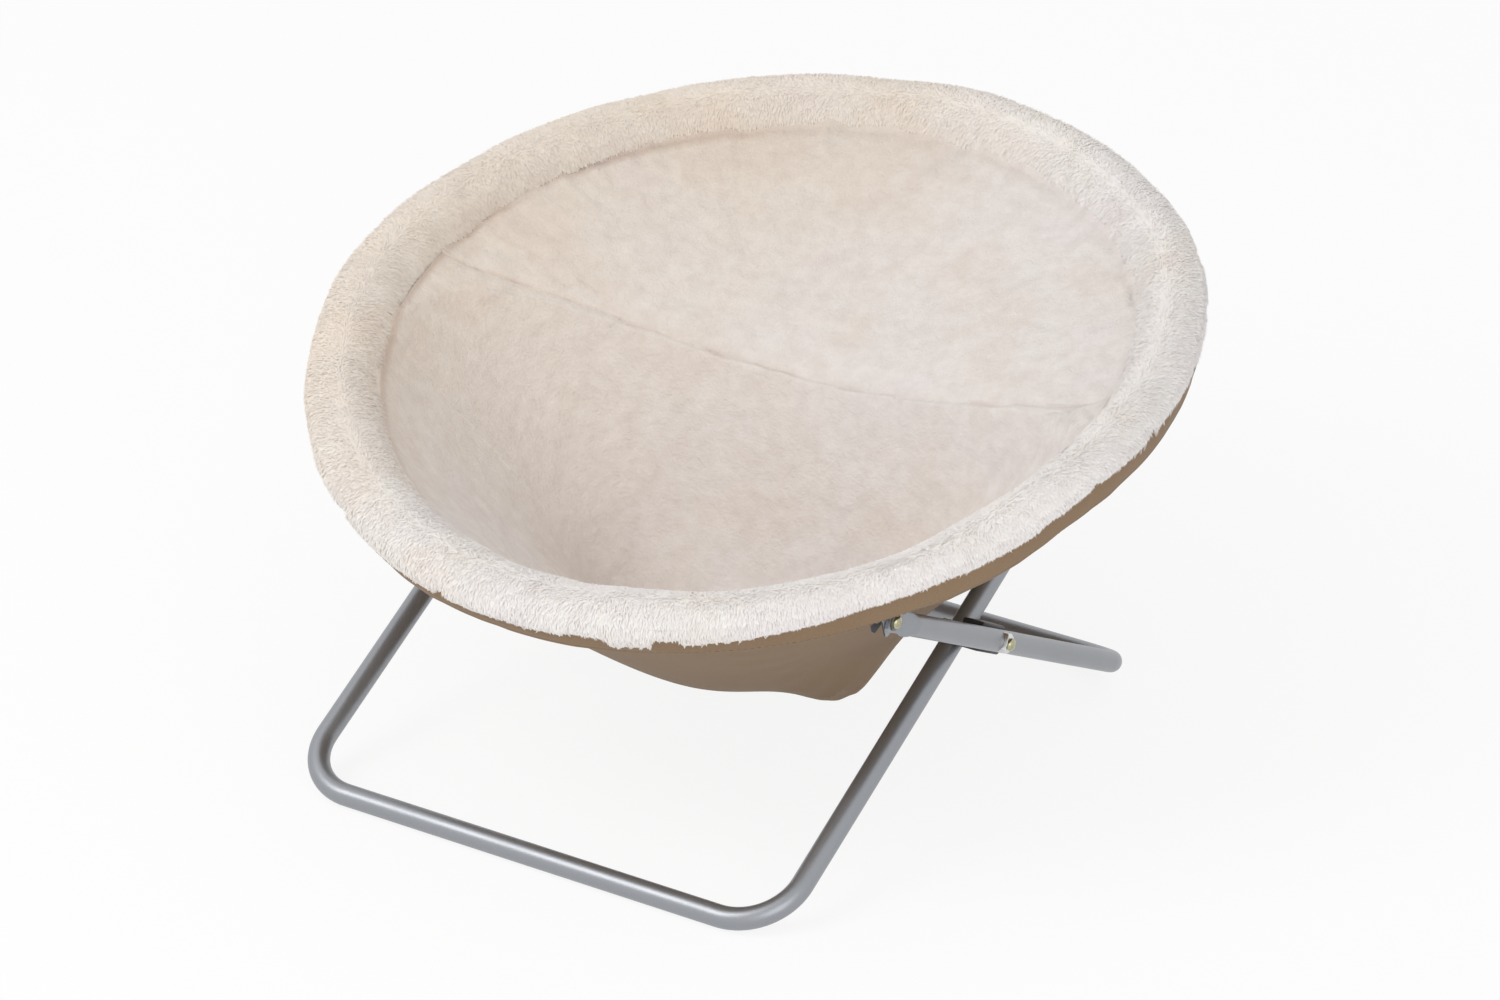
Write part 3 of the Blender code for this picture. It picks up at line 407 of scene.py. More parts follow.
def canvas(name, light, shade):
    """Taupe woven cloth with a fine plain weave and slight fading."""
    material, tree, place = new_material(name)
    fade = ramp(tree, grain(tree, place, 7.0, 3.0, 0.5), (0.3, shade), (0.7, light))
    fleck = grain(tree, place, 900.0, 2.0, 0.6)
    speck = ramp(tree, fleck, (0.3, (0.92, 0.92, 0.92)), (0.7, (1.06, 1.06, 1.06)))
    # Darker where the mesh marks its seam: painted shade in the sleeve's seam groove.
    colour = toned(tree, multiply(tree, fade, speck), "seam", (0.62, 0.58, 0.54))
    threads = [add_node(tree, "ShaderNodeTexWave", wave_type="BANDS", bands_direction=axis, Vector=place,
                        Scale=190.0, Distortion=1.2, Detail=1.0).outputs["Fac"] for axis in "XYZ"]
    weave = combine(tree, "ADD", combine(tree, "ADD", threads[0], threads[1]), threads[2])
    crumple = bump(tree, grain(tree, place, 30.0, 2.0, 0.5), 0.12, 0.004)
    set_shader(tree, Base_Color=colour, Normal=bump(tree, weave, 0.2, 0.0002, Normal=crumple), Roughness=0.78,
               Specular_IOR_Level=0.3, Sheen_Weight=0.10, Sheen_Roughness=0.4)
    return material


def painted(name, light, shade, metallic, roughness):
    """Silver-grey paint with fine flake, slight orange peel and dull patches."""
    material, tree, place = new_material(name)
    flake = ramp(tree, grain(tree, place, 2600.0, 2.0, 0.6), (0.3, shade), (0.7, light))
    dull = add_node(tree, "ShaderNodeMapRange", Value=grain(tree, place, 22.0, 3.0, 0.5),
                    To_Min=roughness - 0.05, To_Max=roughness + 0.08)
    peel = bump(tree, grain(tree, place, 420.0, 2.0, 0.5), 0.12, 0.0004)
    set_shader(tree, Base_Color=flake, Normal=peel, Roughness=dull.outputs["Result"], Metallic=metallic)
    return material


def plated(name, light, shade, roughness):
    """Zinc plate, patchy in colour, with fine marks."""
    material, tree, place = new_material(name)
    patches = ramp(tree, grain(tree, place, 260.0, 3.0, 0.6), (0.35, shade), (0.65, light))
    marks = bump(tree, grain(tree, place, 900.0, 3.0, 0.6), 0.15, 0.0003)
    set_shader(tree, Base_Color=patches, Normal=marks, Roughness=roughness, Metallic=1.0)
    return material


def plastic(name, colour):
    material, tree, place = new_material(name)
    spots = grain(tree, place, 900.0, 3.0, 0.5)
    lighter = tuple(part * 1.8 for part in colour)
    set_shader(tree, Base_Color=ramp(tree, spots, (0.4, colour), (0.7, lighter)), Roughness=0.48,
               Normal=bump(tree, spots, 0.25, 0.0003))
    return material


ROLL_PLUSH = plush("roll_plush", (0.92, 0.89, 0.85), (0.89, 0.855, 0.81), 900.0, 0.0008)
BLADE_PLUSH = plush("pile_plush", (0.955, 0.93, 0.915), (0.92, 0.885, 0.865), 900.0, 0.0004)
NEST_PLUSH = plush("nest_plush", (0.82, 0.775, 0.75), (0.755, 0.70, 0.67), 480.0, 0.0026)
BROWN = canvas("taupe_canvas", (0.277, 0.187, 0.113), (0.251, 0.167, 0.100))
THREAD = canvas("taupe_thread", (0.33, 0.25, 0.17), (0.30, 0.225, 0.155))
GREY = painted("silver_paint", (0.345, 0.358, 0.382), (0.295, 0.307, 0.328), 0.8, 0.37)
# Near-black: painted shade for the inside of the brackets' channels.
CHANNEL_SHADE = painted("painted_channel_shade", (0.055, 0.055, 0.060), (0.045, 0.045, 0.050), 0.2, 0.6)
ZINC = plated("yellow_zinc", (0.52, 0.50, 0.33), (0.36, 0.35, 0.23), 0.24)
DULL_ZINC = plated("dull_zinc", (0.20, 0.20, 0.18), (0.13, 0.13, 0.12), 0.40)
PALE_ZINC = plated("pale_zinc", (0.72, 0.72, 0.72), (0.62, 0.62, 0.60), 0.34)
STEEL = plated("bright_steel", (0.66, 0.66, 0.66), (0.56, 0.56, 0.56), 0.32)
BLACK = plastic("black_plastic", (0.012, 0.012, 0.013))


# Mesh helpers

def new_object(name, points, faces, material):
    mesh = bpy.data.meshes.new(name)
    mesh.from_pydata([tuple(point) for point in points], [], faces)
    mesh.validate()
    mesh.materials.append(material)
    mesh.shade_smooth()
    return in_scene(name, mesh)


def in_scene(name, data):
    made = bpy.data.objects.new(name, data)
    bpy.context.scene.collection.objects.link(made)
    return made


def clean(mesh, join=0.0, sides=0):
    """Joins points closer than a distance, fills holes of up to so many sides, and turns faces outward."""
    bm = bmesh.new()
    bm.from_mesh(mesh)
    if join:
        bmesh.ops.remove_doubles(bm, verts=bm.verts[:], dist=join)
    if sides:
        bmesh.ops.holes_fill(bm, edges=bm.edges[:], sides=sides)
    bmesh.ops.recalc_face_normals(bm, faces=bm.faces[:])
    bm.to_mesh(mesh)
    bm.free()


def round_edges(mesh, sharper_than, width, join=0.0):
    """Rounds the edges that are sharper than an angle, on a mesh whose flat faces may come in pieces."""
    bm = bmesh.new()
    bm.from_mesh(mesh)
    if join:
        bmesh.ops.remove_doubles(bm, verts=bm.verts[:], dist=join)
        bmesh.ops.dissolve_limit(bm, angle_limit=math.radians(1.0), verts=bm.verts[:], edges=bm.edges[:])
    else:
        bmesh.ops.recalc_face_normals(bm, faces=bm.faces[:])
    sharp = [edge for edge in bm.edges if edge.calc_face_angle(0.0) > sharper_than]
    bmesh.ops.bevel(bm, geom=sharp, offset=width, segments=2, profile=0.5, affect="EDGES", clamp_overlap=True)
    bmesh.ops.recalc_face_normals(bm, faces=bm.faces[:])
    for face in bm.faces:
        face.smooth = True
        face.material_index = 0
    bm.to_mesh(mesh)
    bm.free()


def give_normals(piece, normals):
    """Custom normals where they are given, and the mesh's own where they are zero."""
    piece.data.normals_split_custom_set_from_vertices([tuple(normal) for normal in normals])


def mark(piece, name, values):
    """A number for each point of a piece, which its material reads by name."""
    layer = piece.data.attributes.new(name, "FLOAT", "POINT")
    layer.data.foreach_set("value", np.ascontiguousarray(values, dtype=np.float32).ravel())


def grid_normals(points):
    """Normals of a grid of points, (rows, columns, 3)."""
    return unit(np.cross(np.gradient(points, axis=0), np.gradient(points, axis=1)))


def grid_faces(rows, columns, start=0, flip=False, closed=False):
    """Faces of a grid of points, whose rows close on themselves if asked."""
    faces = []
    for row in range(rows - 1):
        for column in range(columns if closed else columns - 1):
            a, b = (start + row * columns + place % columns for place in (column, column + 1))
            quad = (a, b, b + columns, a + columns)
            faces.append(quad[::-1] if flip else quad)
    return faces


def closed_rings(rows, columns, start=0):
    """Faces of a row of closed sections, with an end on each side."""
    last = start + (rows - 1) * columns
    ends = [tuple(range(start, start + columns))[::-1], tuple(range(last, last + columns))]
    return grid_faces(rows, columns, start, closed=True) + ends


def catmull(shares, count):
    """A smooth open curve through 2D points, sampled evenly along its length."""
    p = np.array(shares, dtype=float)
    p = np.vstack([2 * p[0] - p[1], p, 2 * p[-1] - p[-2]])
    out = []
    for index in range(1, len(p) - 2):
        t = np.linspace(0.0, 1.0, 24, endpoint=False)[:, None]
        a, b, c, d = p[index - 1:index + 3]
        out.append(0.5 * (2 * b + (c - a) * t + (2 * a - 5 * b + 4 * c - d) * t ** 2
                          + (3 * b - a - 3 * c + d) * t ** 3))
    out = np.vstack(out + [p[-2:-1]])
    length = np.concatenate([[0.0], np.cumsum(np.linalg.norm(np.diff(out, axis=0), axis=1))])
    even = np.linspace(0.0, length[-1], count)
    return np.stack([np.interp(even, length, out[:, k]) for k in (0, 1)], axis=1)


def fit_to(piece, body, slot, *nodes):
    """Says which body a piece rides on and hides the nodes it replaces; slot is not used."""
    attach(piece, body)
    if nodes:
        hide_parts(*nodes)


def fit_soft(piece, half, *nodes, slot="cream_plush", keep=NEST_KEEP):
    """Rides on its half of the hoop and gets a mesh of its own; keep is not used."""
    fit_to(piece, half + "_ring", slot, *nodes)
    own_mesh(piece)


# The border roll

ROLL_OUTLINE = [(out * (ROLL_OUT if out > 0 else ROLL_IN), up * ROLL_RISE) for out, up in ROLL_SHARES]
ROLL_CURVE = catmull(ROLL_OUTLINE, 81)
CURVE_SHARE = np.linspace(0.0, 1.0, len(ROLL_CURVE))
SHOULDER_OUT, SHOULDER_UP = ROLL_CURVE[0]


def hem_place(angle):
    """Where the pile starts on the canvas, out and up: ragged, with some deeper notches."""
    out, up = around_hoop(angle, HEM_PLACES, 2), around_hoop(angle, HEM_PLACES)
    room = SHOULDER_UP - up
    ragged = bumps(ring_place(angle), (0.0010, 0.0075, 61, 1), (0.0009, 0.034, 62, 1))
    notch = np.minimum(0.0050, 0.36 * room) * smooth_step((noise(ring_place(angle), 0.017, 63) - 0.42) / 0.16)
    rise = ragged + notch - 0.0006
    return out + (SHOULDER_OUT - out) * rise / room * 0.5, up + rise


def roll_surface(angle, share):
    """The roll's face before its pile, by angle round the hoop and share of its section, 0 at the hem."""
    hem_out, hem_up = hem_place(angle)
    below = np.clip(share / SHOULDER_SHARE, -0.1, 1.0)
    bulge = HEM_BULGE * (SHOULDER_UP - hem_up) * np.sin(np.pi * below)
    above = (share - SHOULDER_SHARE) / (1.0 - SHOULDER_SHARE)
    out = np.where(share < SHOULDER_SHARE, hem_out + (SHOULDER_OUT - hem_out) * below + bulge,
                   np.interp(above, CURVE_SHARE, ROLL_CURVE[:, 0]))
    up = np.where(share < SHOULDER_SHARE, hem_up + (SHOULDER_UP - hem_up) * below,
                  np.interp(above, CURVE_SHARE, ROLL_CURVE[:, 1]))
    spot = ring_place(angle, share * 0.35 * HOOP_RADIUS)
    swell = np.sin(np.pi * np.clip(share, 0.0, 1.0)) ** 0.7
    away_out, away_up = out - ROLL_CENTRE[0], up - ROLL_CENTRE[1]
    size = np.maximum(np.hypot(away_out, away_up), 0.004)
    grow = 1.0 + bumps(spot, (0.0022, 0.075, 3, 1), (0.0013, 0.026, 5, 1)) * swell / size
    return hoop_place(angle, ROLL_CENTRE[0] + away_out * grow, ROLL_CENTRE[1] + away_up * grow)


def roll_frame(angle, share):
    """Point, outward normal, direction round the hoop and direction along the section to the outside."""
    step = 0.004
    here = roll_surface(angle, share)
    round_way = unit(roll_surface(angle + step, share) - roll_surface(angle - step, share))
    section = unit(roll_surface(angle, share - step) - roll_surface(angle, share + step))
    return here, unit(np.cross(section, round_way)), round_way, section


def border(half):
    """The roll's body: its face, a little under its pile, and its foot on the hoop."""
    angle = half_angles(half, round(ROLL_STEPS * HALF_SHARES[half]))
    grid_angle, share = np.meshgrid(angle, np.linspace(0.0, 1.0, ROLL_POINTS), indexing="ij")
    here, normal, _, _ = roll_frame(grid_angle, share)
    fluff = noise(here, 0.0085, 11, 2) * 0.00025 - 0.0006
    fade = np.minimum(1.0, np.minimum(share, 1.0 - share) / 0.05)
    top = here + normal * (fluff * fade)[..., None]
    shading = grid_normals(top)
    shading *= np.sign(np.sum(shading * normal, axis=-1, keepdims=True))
    shading[0], shading[-1] = normal[0], normal[-1]
    under_angle, index = np.meshgrid(angle, np.arange(len(ROLL_UNDER)), indexing="ij")
    under = hoop_place(under_angle, ROLL_UNDER[index, 0], ROLL_UNDER[index, 1])
    hem_out, hem_up = hem_place(angle)
    tuck = hoop_place(angle, hem_out + HEM_TUCK[0], hem_up + HEM_TUCK[1])[:, None, :]
    foot = np.concatenate([under, tuck], axis=1)
    ring = np.concatenate([top, foot], axis=1)
    piece = new_object("border_roll_" + half, ring.reshape(-1, 3), closed_rings(*ring.shape[:2]), ROLL_PLUSH)
    clean(piece.data)
    seam = np.zeros(ring.shape[:2])
    # Painted shade along the roll's inner seam, stronger at the rear left; the tan tint is partly wear,
    # partly painted shade.
    seam[:, :ROLL_POINTS] = groove(1.0 - share, 0.020) * (0.20 + 0.6 * tan_wear_and_shade(grid_angle))
    mark(piece, "seam", seam)
    mark(piece, "wear_and_shade", np.repeat(tan_wear_and_shade(angle)[:, None], ring.shape[1], axis=1))
    give_normals(piece, np.concatenate([shading, np.zeros_like(foot)], axis=1).reshape(-1, 3))
    fit_soft(piece, half, "border_plush_" + half, "border_filling_" + half, keep=ROLL_KEEP)


def pile(half):
    """Pile combed down the roll's outside and towards its seam inside, with longer locks along its hem."""
    ends = half_angles(half, 2)
    count, locks = round(BLADES * HALF_SHARES[half]), round(LOCKS * HALF_SHARES[half])
    lock_angle = RNG.uniform(ends[0], ends[1], locks)
    lock_lean = RNG.normal(-0.30, 0.28, locks) + 0.5 * noise(ring_place(lock_angle), 0.05, 27)
    lock = np.repeat(np.arange(locks), LOCK_BLADES)
    off = RNG.normal(0.0, LOCK_SPREAD, len(lock))
    angle = np.concatenate([RNG.uniform(ends[0], ends[1], count), lock_angle[lock] + off / HOOP_RADIUS])
    angle = np.clip(angle, ends[0], ends[1])
    share = np.concatenate([RNG.uniform(0.0, 1.0, count) ** 1.08, RNG.uniform(-0.01, 0.05, len(lock))])
    in_lock = np.arange(len(angle)) >= count
    count = len(angle)
    here, normal, round_way, section = roll_frame(angle, share)
    comb = np.clip((0.54 - share) / 0.25, -1.0, 1.0)[:, None]
    swirl = noise(here, 0.045, 21) * 0.25 + RNG.normal(0.0, 0.20, count)
    swirl[in_lock] = lock_lean[lock] - off / LOCK_HALF_WIDTH
    lay = unit(section * comb + round_way * swirl[:, None])
    hem = (1.0 - smooth_step(share / 0.10))[:, None]
    lift = np.clip(RNG.normal(0.20, 0.05, count), 0.08, 0.34)[:, None]
    lift = lift * (1.0 - 0.45 * hem)
    length = (PILE_LENGTH + 0.0003 * noise(here, 0.030, 24) + RNG.normal(0.0, 0.0006, count))[:, None]
    shorter = hem * (0.0014 + 0.0012 * noise(ring_place(angle), 0.004, 26)[:, None])
    length = np.clip(length - shorter, *PILE_LENGTHS)
    length[in_lock] = RNG.uniform(*LOCK_LENGTHS, locks)[lock][:, None]
    width = RNG.uniform(*BLADE_HALF_WIDTHS, count)[:, None]
    width[in_lock] *= 0.7
    side = unit(np.cross(lay, normal))
    root = here - normal * PILE_ROOT_DEPTH
    middle = root + unit(lay + normal * (lift * 1.8)) * (length * 0.5)
    tip = middle + unit(lay + normal * (lift * 0.2)) * (length * 0.5)
    points = np.stack([root - side * width, root + side * width, middle - side * width * 0.8,
                       middle + side * width * 0.8, tip], axis=1)
    start = np.arange(count)[:, None] * 5
    faces = (start + np.array([0, 1, 3, 2])).tolist() + (start + np.array([2, 3, 4])).tolist()
    piece = new_object("border_pile_" + half, points.reshape(-1, 3), faces, BLADE_PLUSH)
    wear_and_shade = tan_wear_and_shade(angle)
    mark(piece, "wear_and_shade", np.repeat(wear_and_shade, 5))
    # Painted shade: blades near the roll's inner seam darken to tan in streaks, widest and strongest at the
    # rear left.
    shade_streak = np.clip(RNG.normal(0.5, 0.7, count), 0.0, 2.0) + 0.9 * noise(here, 0.0035, 28)
    reach = 0.035 + 0.045 * wear_and_shade * (0.6 + 0.8 * noise(ring_place(angle), 0.03, 29))
    tan = groove(1.0 - share, reach) * (0.12 + 0.85 * wear_and_shade) * np.clip(shade_streak, 0.0, 2.0)
    mark(piece, "seam", np.repeat(np.minimum(tan, 1.0), 5))
    rough = np.where(in_lock, 0.22, 0.12) * RNG.normal(0.0, 1.0, count)
    leaning = unit(normal + lay * 0.05 + side * rough[:, None])
    give_normals(piece, np.repeat(leaning, 5, axis=0))
    fit_soft(piece, half, keep=ROLL_KEEP)


# The nest

def rounded(value):
    """The lesser of a value and 1, with a soft corner between them."""
    return -np.log(np.exp(-POCKET_SOFTNESS * value) + math.exp(-POCKET_SOFTNESS)) / POCKET_SOFTNESS


def seam_bend(x):
    """How far the straight seam's left end hangs forward of its line."""
    return SEAM_DROOP * np.maximum(0.0, -x - SEAM_DROOP_START) ** 2


def seam_run(toward_x, toward_v, line):
    """How far the seam is along a ray from a point on the middle line."""
    toward_v = np.maximum(toward_v, 0.0001)
    run = np.minimum((CHORD_BACK - line) / toward_v, 0.4 / np.maximum(np.abs(toward_x), 0.01))
    for _ in range(12):
        x = run * toward_x
        wrong = line + run * toward_v + seam_bend(x) - CHORD_BACK
        slope = toward_v - 2.0 * SEAM_DROOP * np.maximum(0.0, -x - SEAM_DROOP_START) * toward_x
        run = run - wrong / np.maximum(slope, 0.02)
    return run


def nest_depth(x, v, edge):
    """How far the nest's cloth hangs below the hoop's plane, where edge is the radius it hangs from."""
    scale = NEST_EDGE / edge
    x, v = x * scale, v * scale
    dish = DISH_DEPTH * np.maximum(0.0, 1.0 - (x * x + v * v) / NEST_EDGE ** 2)
    dv = v + POCKET_FORWARD
    run = np.maximum(np.hypot(x, dv), 0.00001)
    toward_x, toward_v = x / run, dv / run
    inner = -POCKET_FORWARD * toward_v
    reach = -inner + np.sqrt(np.maximum(0.0, inner * inner - POCKET_FORWARD ** 2 + NEST_EDGE ** 2))
    chord = np.maximum(seam_run(toward_x, toward_v, -POCKET_FORWARD), 0.05)
    joined = (reach ** -EDGE_POWER + chord ** -EDGE_POWER) ** (-1.0 / EDGE_POWER)
    share = np.minimum(1.0, run / np.where(toward_v > 0.02, joined, reach))
    low = rounded(0.0)
    high = rounded(1.0 / (1.0 - POCKET_FLOOR_SHARE))
    drop = (rounded((1.0 - share) / (1.0 - POCKET_FLOOR_SHARE)) - low) / (high - low)
    aside = ((np.abs(x) - CORNER_SIDE) ** 2 + (v + CORNER_FORWARD) ** 2) / CORNER_SPREAD ** 2
    return dish + POCKET_DEPTH * drop + CORNER_DEPTH * np.exp(-aside)


def rim_reach(toward_v, edge):
    """How far the nest's rim is along a ray from the middle of the hinge line."""
    line = -HINGE_FORWARD
    return -line * toward_v + np.sqrt((line * toward_v) ** 2 - line ** 2 + edge ** 2)


def nest_grid(half, edge):
    """Rays and stops shared by the nest's layers, as x and v, with a stop on the straight seam."""
    line = -HINGE_FORWARD
    if half == "front":
        turn = np.linspace(-math.pi, 0.0, RAYS)
    else:
        corner = math.atan2(CHORD_BACK - line, math.sqrt(LINING_EDGE ** 2 - CHORD_BACK ** 2))
        left_v = CHORD_BACK
        for _ in range(20):
            left_x = -math.sqrt(LINING_EDGE ** 2 - left_v ** 2)
            left_v = CHORD_BACK - float(seam_bend(left_x))
        left = math.atan2(left_v - line, left_x)
        turn = np.concatenate([np.linspace(0.0, corner, SIDE_RAYS, endpoint=False),
                               np.linspace(corner, left, RAYS - 2 * SIDE_RAYS, endpoint=False),
                               np.linspace(left, math.pi, SIDE_RAYS)])
    toward_x, toward_v = np.cos(turn), np.sin(turn)
    rim, seam = rim_reach(toward_v, edge), rim_reach(toward_v, LINING_EDGE)
    if half == "rear":
        crossing = np.where(toward_v > 0.02, seam_run(toward_x, toward_v, line), 9.0)
        seam = np.where((turn >= corner) & (turn <= left), np.minimum(seam, crossing), seam)
    inside = 1.0 - (1.0 - np.linspace(0.0, 1.0, SEAM_STOPS)) ** 1.5
    beyond = np.linspace(0.0, 1.0, RIM_STOPS)[1:] ** 1.4
    stops = np.concatenate([seam[:, None] * inside, seam[:, None] + (rim - seam)[:, None] * beyond], axis=1)
    return toward_x[:, None] * stops, line + toward_v[:, None] * stops


def bracket_window(x, v):
    """1 over the brackets and the nuts beside them, 0 away from them."""
    most = 0.0
    for half_width, way in ((REAR_LEG_HALF_WIDTH, -1.0), (FRONT_LEG_HALF_WIDTH, 1.0)):
        bolt_v = way * math.sqrt(HOOP_RADIUS ** 2 - half_width ** 2)
        low_x, high_x = half_width - BRACKET_ROOM_LOW, half_width + BRACKET_ROOM_HIGH
        low_v = bolt_v - (BRACKET_AHEAD if way < 0 else BRACKET_BEHIND) - BRACKET_ROOM_MARGIN
        high_v = bolt_v + (BRACKET_BEHIND if way < 0 else BRACKET_AHEAD) + BRACKET_ROOM_MARGIN
        off_x = np.maximum(np.abs(np.abs(x) - (low_x + high_x) / 2.0) - (high_x - low_x) / 2.0, 0.0)
        off_v = np.maximum(np.abs(v - (low_v + high_v) / 2.0) - (high_v - low_v) / 2.0, 0.0)
        most = np.maximum(most, 1.0 - smooth_step(np.hypot(off_x, off_v) / BRACKET_ROOM_FADE))
    return most


def painted_seam_shade(x, v):
    """Painted shade along the nest's seams: the straight one, and the one under the roll where the roll
    shades the pad.
    """
    radius = np.hypot(x, v)
    inside = np.clip((LINING_EDGE - radius) / 0.01, 0.0, 1.0)
    wander = noise(plan(x, v), 0.02, 37)
    straight = groove(v + seam_bend(x) - CHORD_BACK - 0.0008 * wander, 0.0014) * (0.55 + 0.75 * wander)
    rim = groove(LINING_EDGE - radius - 0.001, 0.0022) * (0.08 + 0.42 * tan_wear_and_shade(np.arctan2(v, x)))
    return np.maximum(0.22 * np.clip(straight, 0.0, 1.0) * inside, rim)


def lining_height(x, v):
    """The lining's face: its hang, the draw of its seams, and soft creases."""
    radius = np.hypot(x, v)
    to_edge = LINING_EDGE - radius
    share = np.minimum(1.0, radius / LINING_EDGE)
    hang = FILL_DEPTH * (1.0 - share ** 4) - nest_depth(x, v, LINING_EDGE)
    end_room = np.clip(to_edge / 0.02, 0.0, 1.0)
    # The straight seam is drawn in, and the panel behind it is filled like a pillow
    behind = v + seam_bend(x) - CHORD_BACK
    seam = 0.35 * groove(behind, 0.0034) + 0.55 * np.exp(-np.abs(behind) / 0.012)
    pillow = np.clip(behind / (LINING_EDGE - CHORD_BACK), 0.0, 1.0) * (1.0 - share ** 2)
    crown = 0.0085 * np.minimum(1.0, 2.2 * np.sqrt(np.maximum(pillow, 0.0)))
    wrinkles = noise(plan(x * 0.35, v * 1.5), 0.0085, 30, 2)
    wrinkles = wrinkles * np.exp(-np.maximum(behind, 0.0) / 0.018) * (behind > 0.0)
    ripple = noise(plan(x, v * 0.20), 0.024, 31, 2) * np.exp(behind / 0.055) * (behind < 0.0)
    # Gathers run in from the rim, slack folds lie all over, and draws spread from the panel's right end
    turn = np.arctan2(v, x)
    around = np.stack([np.cos(turn) * 0.27, np.sin(turn) * 0.27, radius * 0.18], axis=-1)
    gathers = noise(around, 0.015, 33, 2) * np.exp(-to_edge / 0.040)
    folds = noise(plan(x, v), 0.080, 35, 2) * 0.0034 * end_room
    from_corner = np.hypot(x - DRAW_SIDE, v - CHORD_BACK)
    heading = np.arctan2(v - CHORD_BACK, x - DRAW_SIDE)
    draws = np.sin(heading * 15.0 + 2.5 * noise(plan(x, v), 0.07, 38)) * np.exp(-from_corner / 0.075)
    folds = folds + 0.0021 * draws * np.minimum(1.0, from_corner / 0.03) * smooth_step(-behind / 0.02)
    fleece = noise(plan(x, v), 0.011, 36, 2) * 0.0009
    height = (hang + crown + (-0.0030 * seam + 0.0034 * ripple + 0.0015 * wrinkles) * end_room
              + 0.0024 * gathers + folds + fleece + 0.0034 * np.exp(-to_edge / 0.007))
    floor = LEAST_FILL - nest_depth(x, v, NEST_EDGE)
    return np.where(to_edge > 0.002, np.maximum(height, floor), height)


def shell_low(x, v):
    """The canvas shell's outer face, with its gathered corners and slack folds."""
    place = plan(x, v)
    edge_room = np.clip((NEST_EDGE - np.hypot(x, v)) / 0.03, 0.0, 1.0)
    slack = noise(place, 0.12, 41, 2) * 0.0020
    dv = v + CORNER_FORWARD
    dart = np.abs(np.abs(x) - CORNER_SIDE - 0.55 * np.maximum(0.0, dv))
    along = np.clip(1.0 - np.abs(dv) / 0.16, 0.0, 1.0)
    tuck = groove(dart, 0.0075) * along * (dv > -0.02)
    pleat = np.sin(dv * 300.0 + 9.0 * noise(place, 0.05, 44)) * np.exp(-dart / 0.014) * along
    drop = nest_depth(x, v, NEST_EDGE) + (slack - 0.0036 * tuck + 0.0014 * pleat) * edge_room
    clear = bracket_window(x, v)
    return -(drop * (1.0 - clear) + SHELL_UNDER_BRACKETS * clear) - SHELL_DROP


def shell_top(x, v):
    return shell_low(x, v) + SHELL_THICKNESS


def pad_low(x, v):
    return np.minimum(shell_top(x, v) + LAYER_GAP, lining_height(x, v) - LEAST_PAD)


def layer(name, x, v, top, bottom, material, seen):
    """A closed form between two height functions. seen is the one whose face needs exact normals."""
    rows, columns = x.shape
    faces = grid_faces(rows, columns) + grid_faces(rows, columns, rows * columns, True)
    rim = [(row * columns + columns - 1, (row + 1) * columns + columns - 1) for row in range(rows - 1)]
    rim += [(column, column + 1) for column in range(columns - 1)]
    last = (rows - 1) * columns
    rim += [(last + column + 1, last + column) for column in range(columns - 1)]
    faces += [(a, a + rows * columns, b + rows * columns, b) for a, b in rim]
    step = 0.0009
    right = ring_points(x + step, v, seen(x + step, v)) - ring_points(x - step, v, seen(x - step, v))
    back = ring_points(x, v + step, seen(x, v + step)) - ring_points(x, v - step, seen(x, v - step))
    normal = unit(np.cross(right, back)).reshape(-1, 3)
    none = np.zeros_like(normal)
    points = [ring_points(x, v, height(x, v)).reshape(-1, 3) for height in (top, bottom)]
    piece = new_object(name, np.concatenate(points), faces, material)
    if seen is top:
        wear_and_shade = np.hypot(x, v) / LINING_EDGE * tan_wear_and_shade(np.arctan2(v, x))
        # Painted shade at the pad's seams; its tan tint toward the rim is partly wear, partly painted shade.
        mark(piece, "seam", np.concatenate([painted_seam_shade(x, v).ravel(), np.zeros(x.size)]))
        mark(piece, "wear_and_shade", np.concatenate([wear_and_shade.ravel(), np.zeros(x.size)]))
    join_and_shade(piece, np.concatenate([normal, none] if seen is top else [none, -normal]))
    return piece


def join_and_shade(piece, normals):
    """Joins the points that lie on each other, such as at the grid's middle, and sets the normals."""
    mesh = piece.data
    kept = mesh.attributes.new("given", "FLOAT_VECTOR", "POINT")
    kept.data.foreach_set("vector", np.ascontiguousarray(normals, dtype=np.float32).ravel())
    clean(mesh, JOIN_DISTANCE)
    values = np.zeros(len(mesh.vertices) * 3, dtype=np.float32)
    mesh.attributes["given"].data.foreach_get("vector", values)
    mesh.attributes.remove(mesh.attributes["given"])
    give_normals(piece, values.reshape(-1, 3))


def nest_half(half):
    """The padded lining, the back panel behind its straight seam, and the canvas shell below."""
    x, v = nest_grid(half, LINING_EDGE + PAD_UNDER_ROLL)
    pads = [("nest_pad_" + half, slice(None), slice(None), 0.3, ("lining_" + half, "nest_filling_" + half))]
    if half == "rear":
        pads = [("nest_pad_rear", slice(None), slice(SEAM_STOPS), 0.3, ("lining_rear", "nest_filling_rear")),
                ("back_pad", slice(SIDE_RAYS, RAYS - SIDE_RAYS + 1), slice(SEAM_STOPS - 1, None), 0.45,
                 ("back_panel",))]
    for name, rows, columns, fill, nodes in pads:
        part_x, part_v = x[rows, columns], v[rows, columns]
        pad = layer(name, part_x, part_v, lining_height, pad_low, NEST_PLUSH, lining_height)
        fit_soft(pad, half, *nodes)
    shell = layer("canvas_shell_" + half, *nest_grid(half, NEST_EDGE), shell_top, shell_low, BROWN, shell_low)
    fit_soft(shell, half, "outer_shell_" + half, slot="brown_canvas")


# The canvas sleeve round the hoop

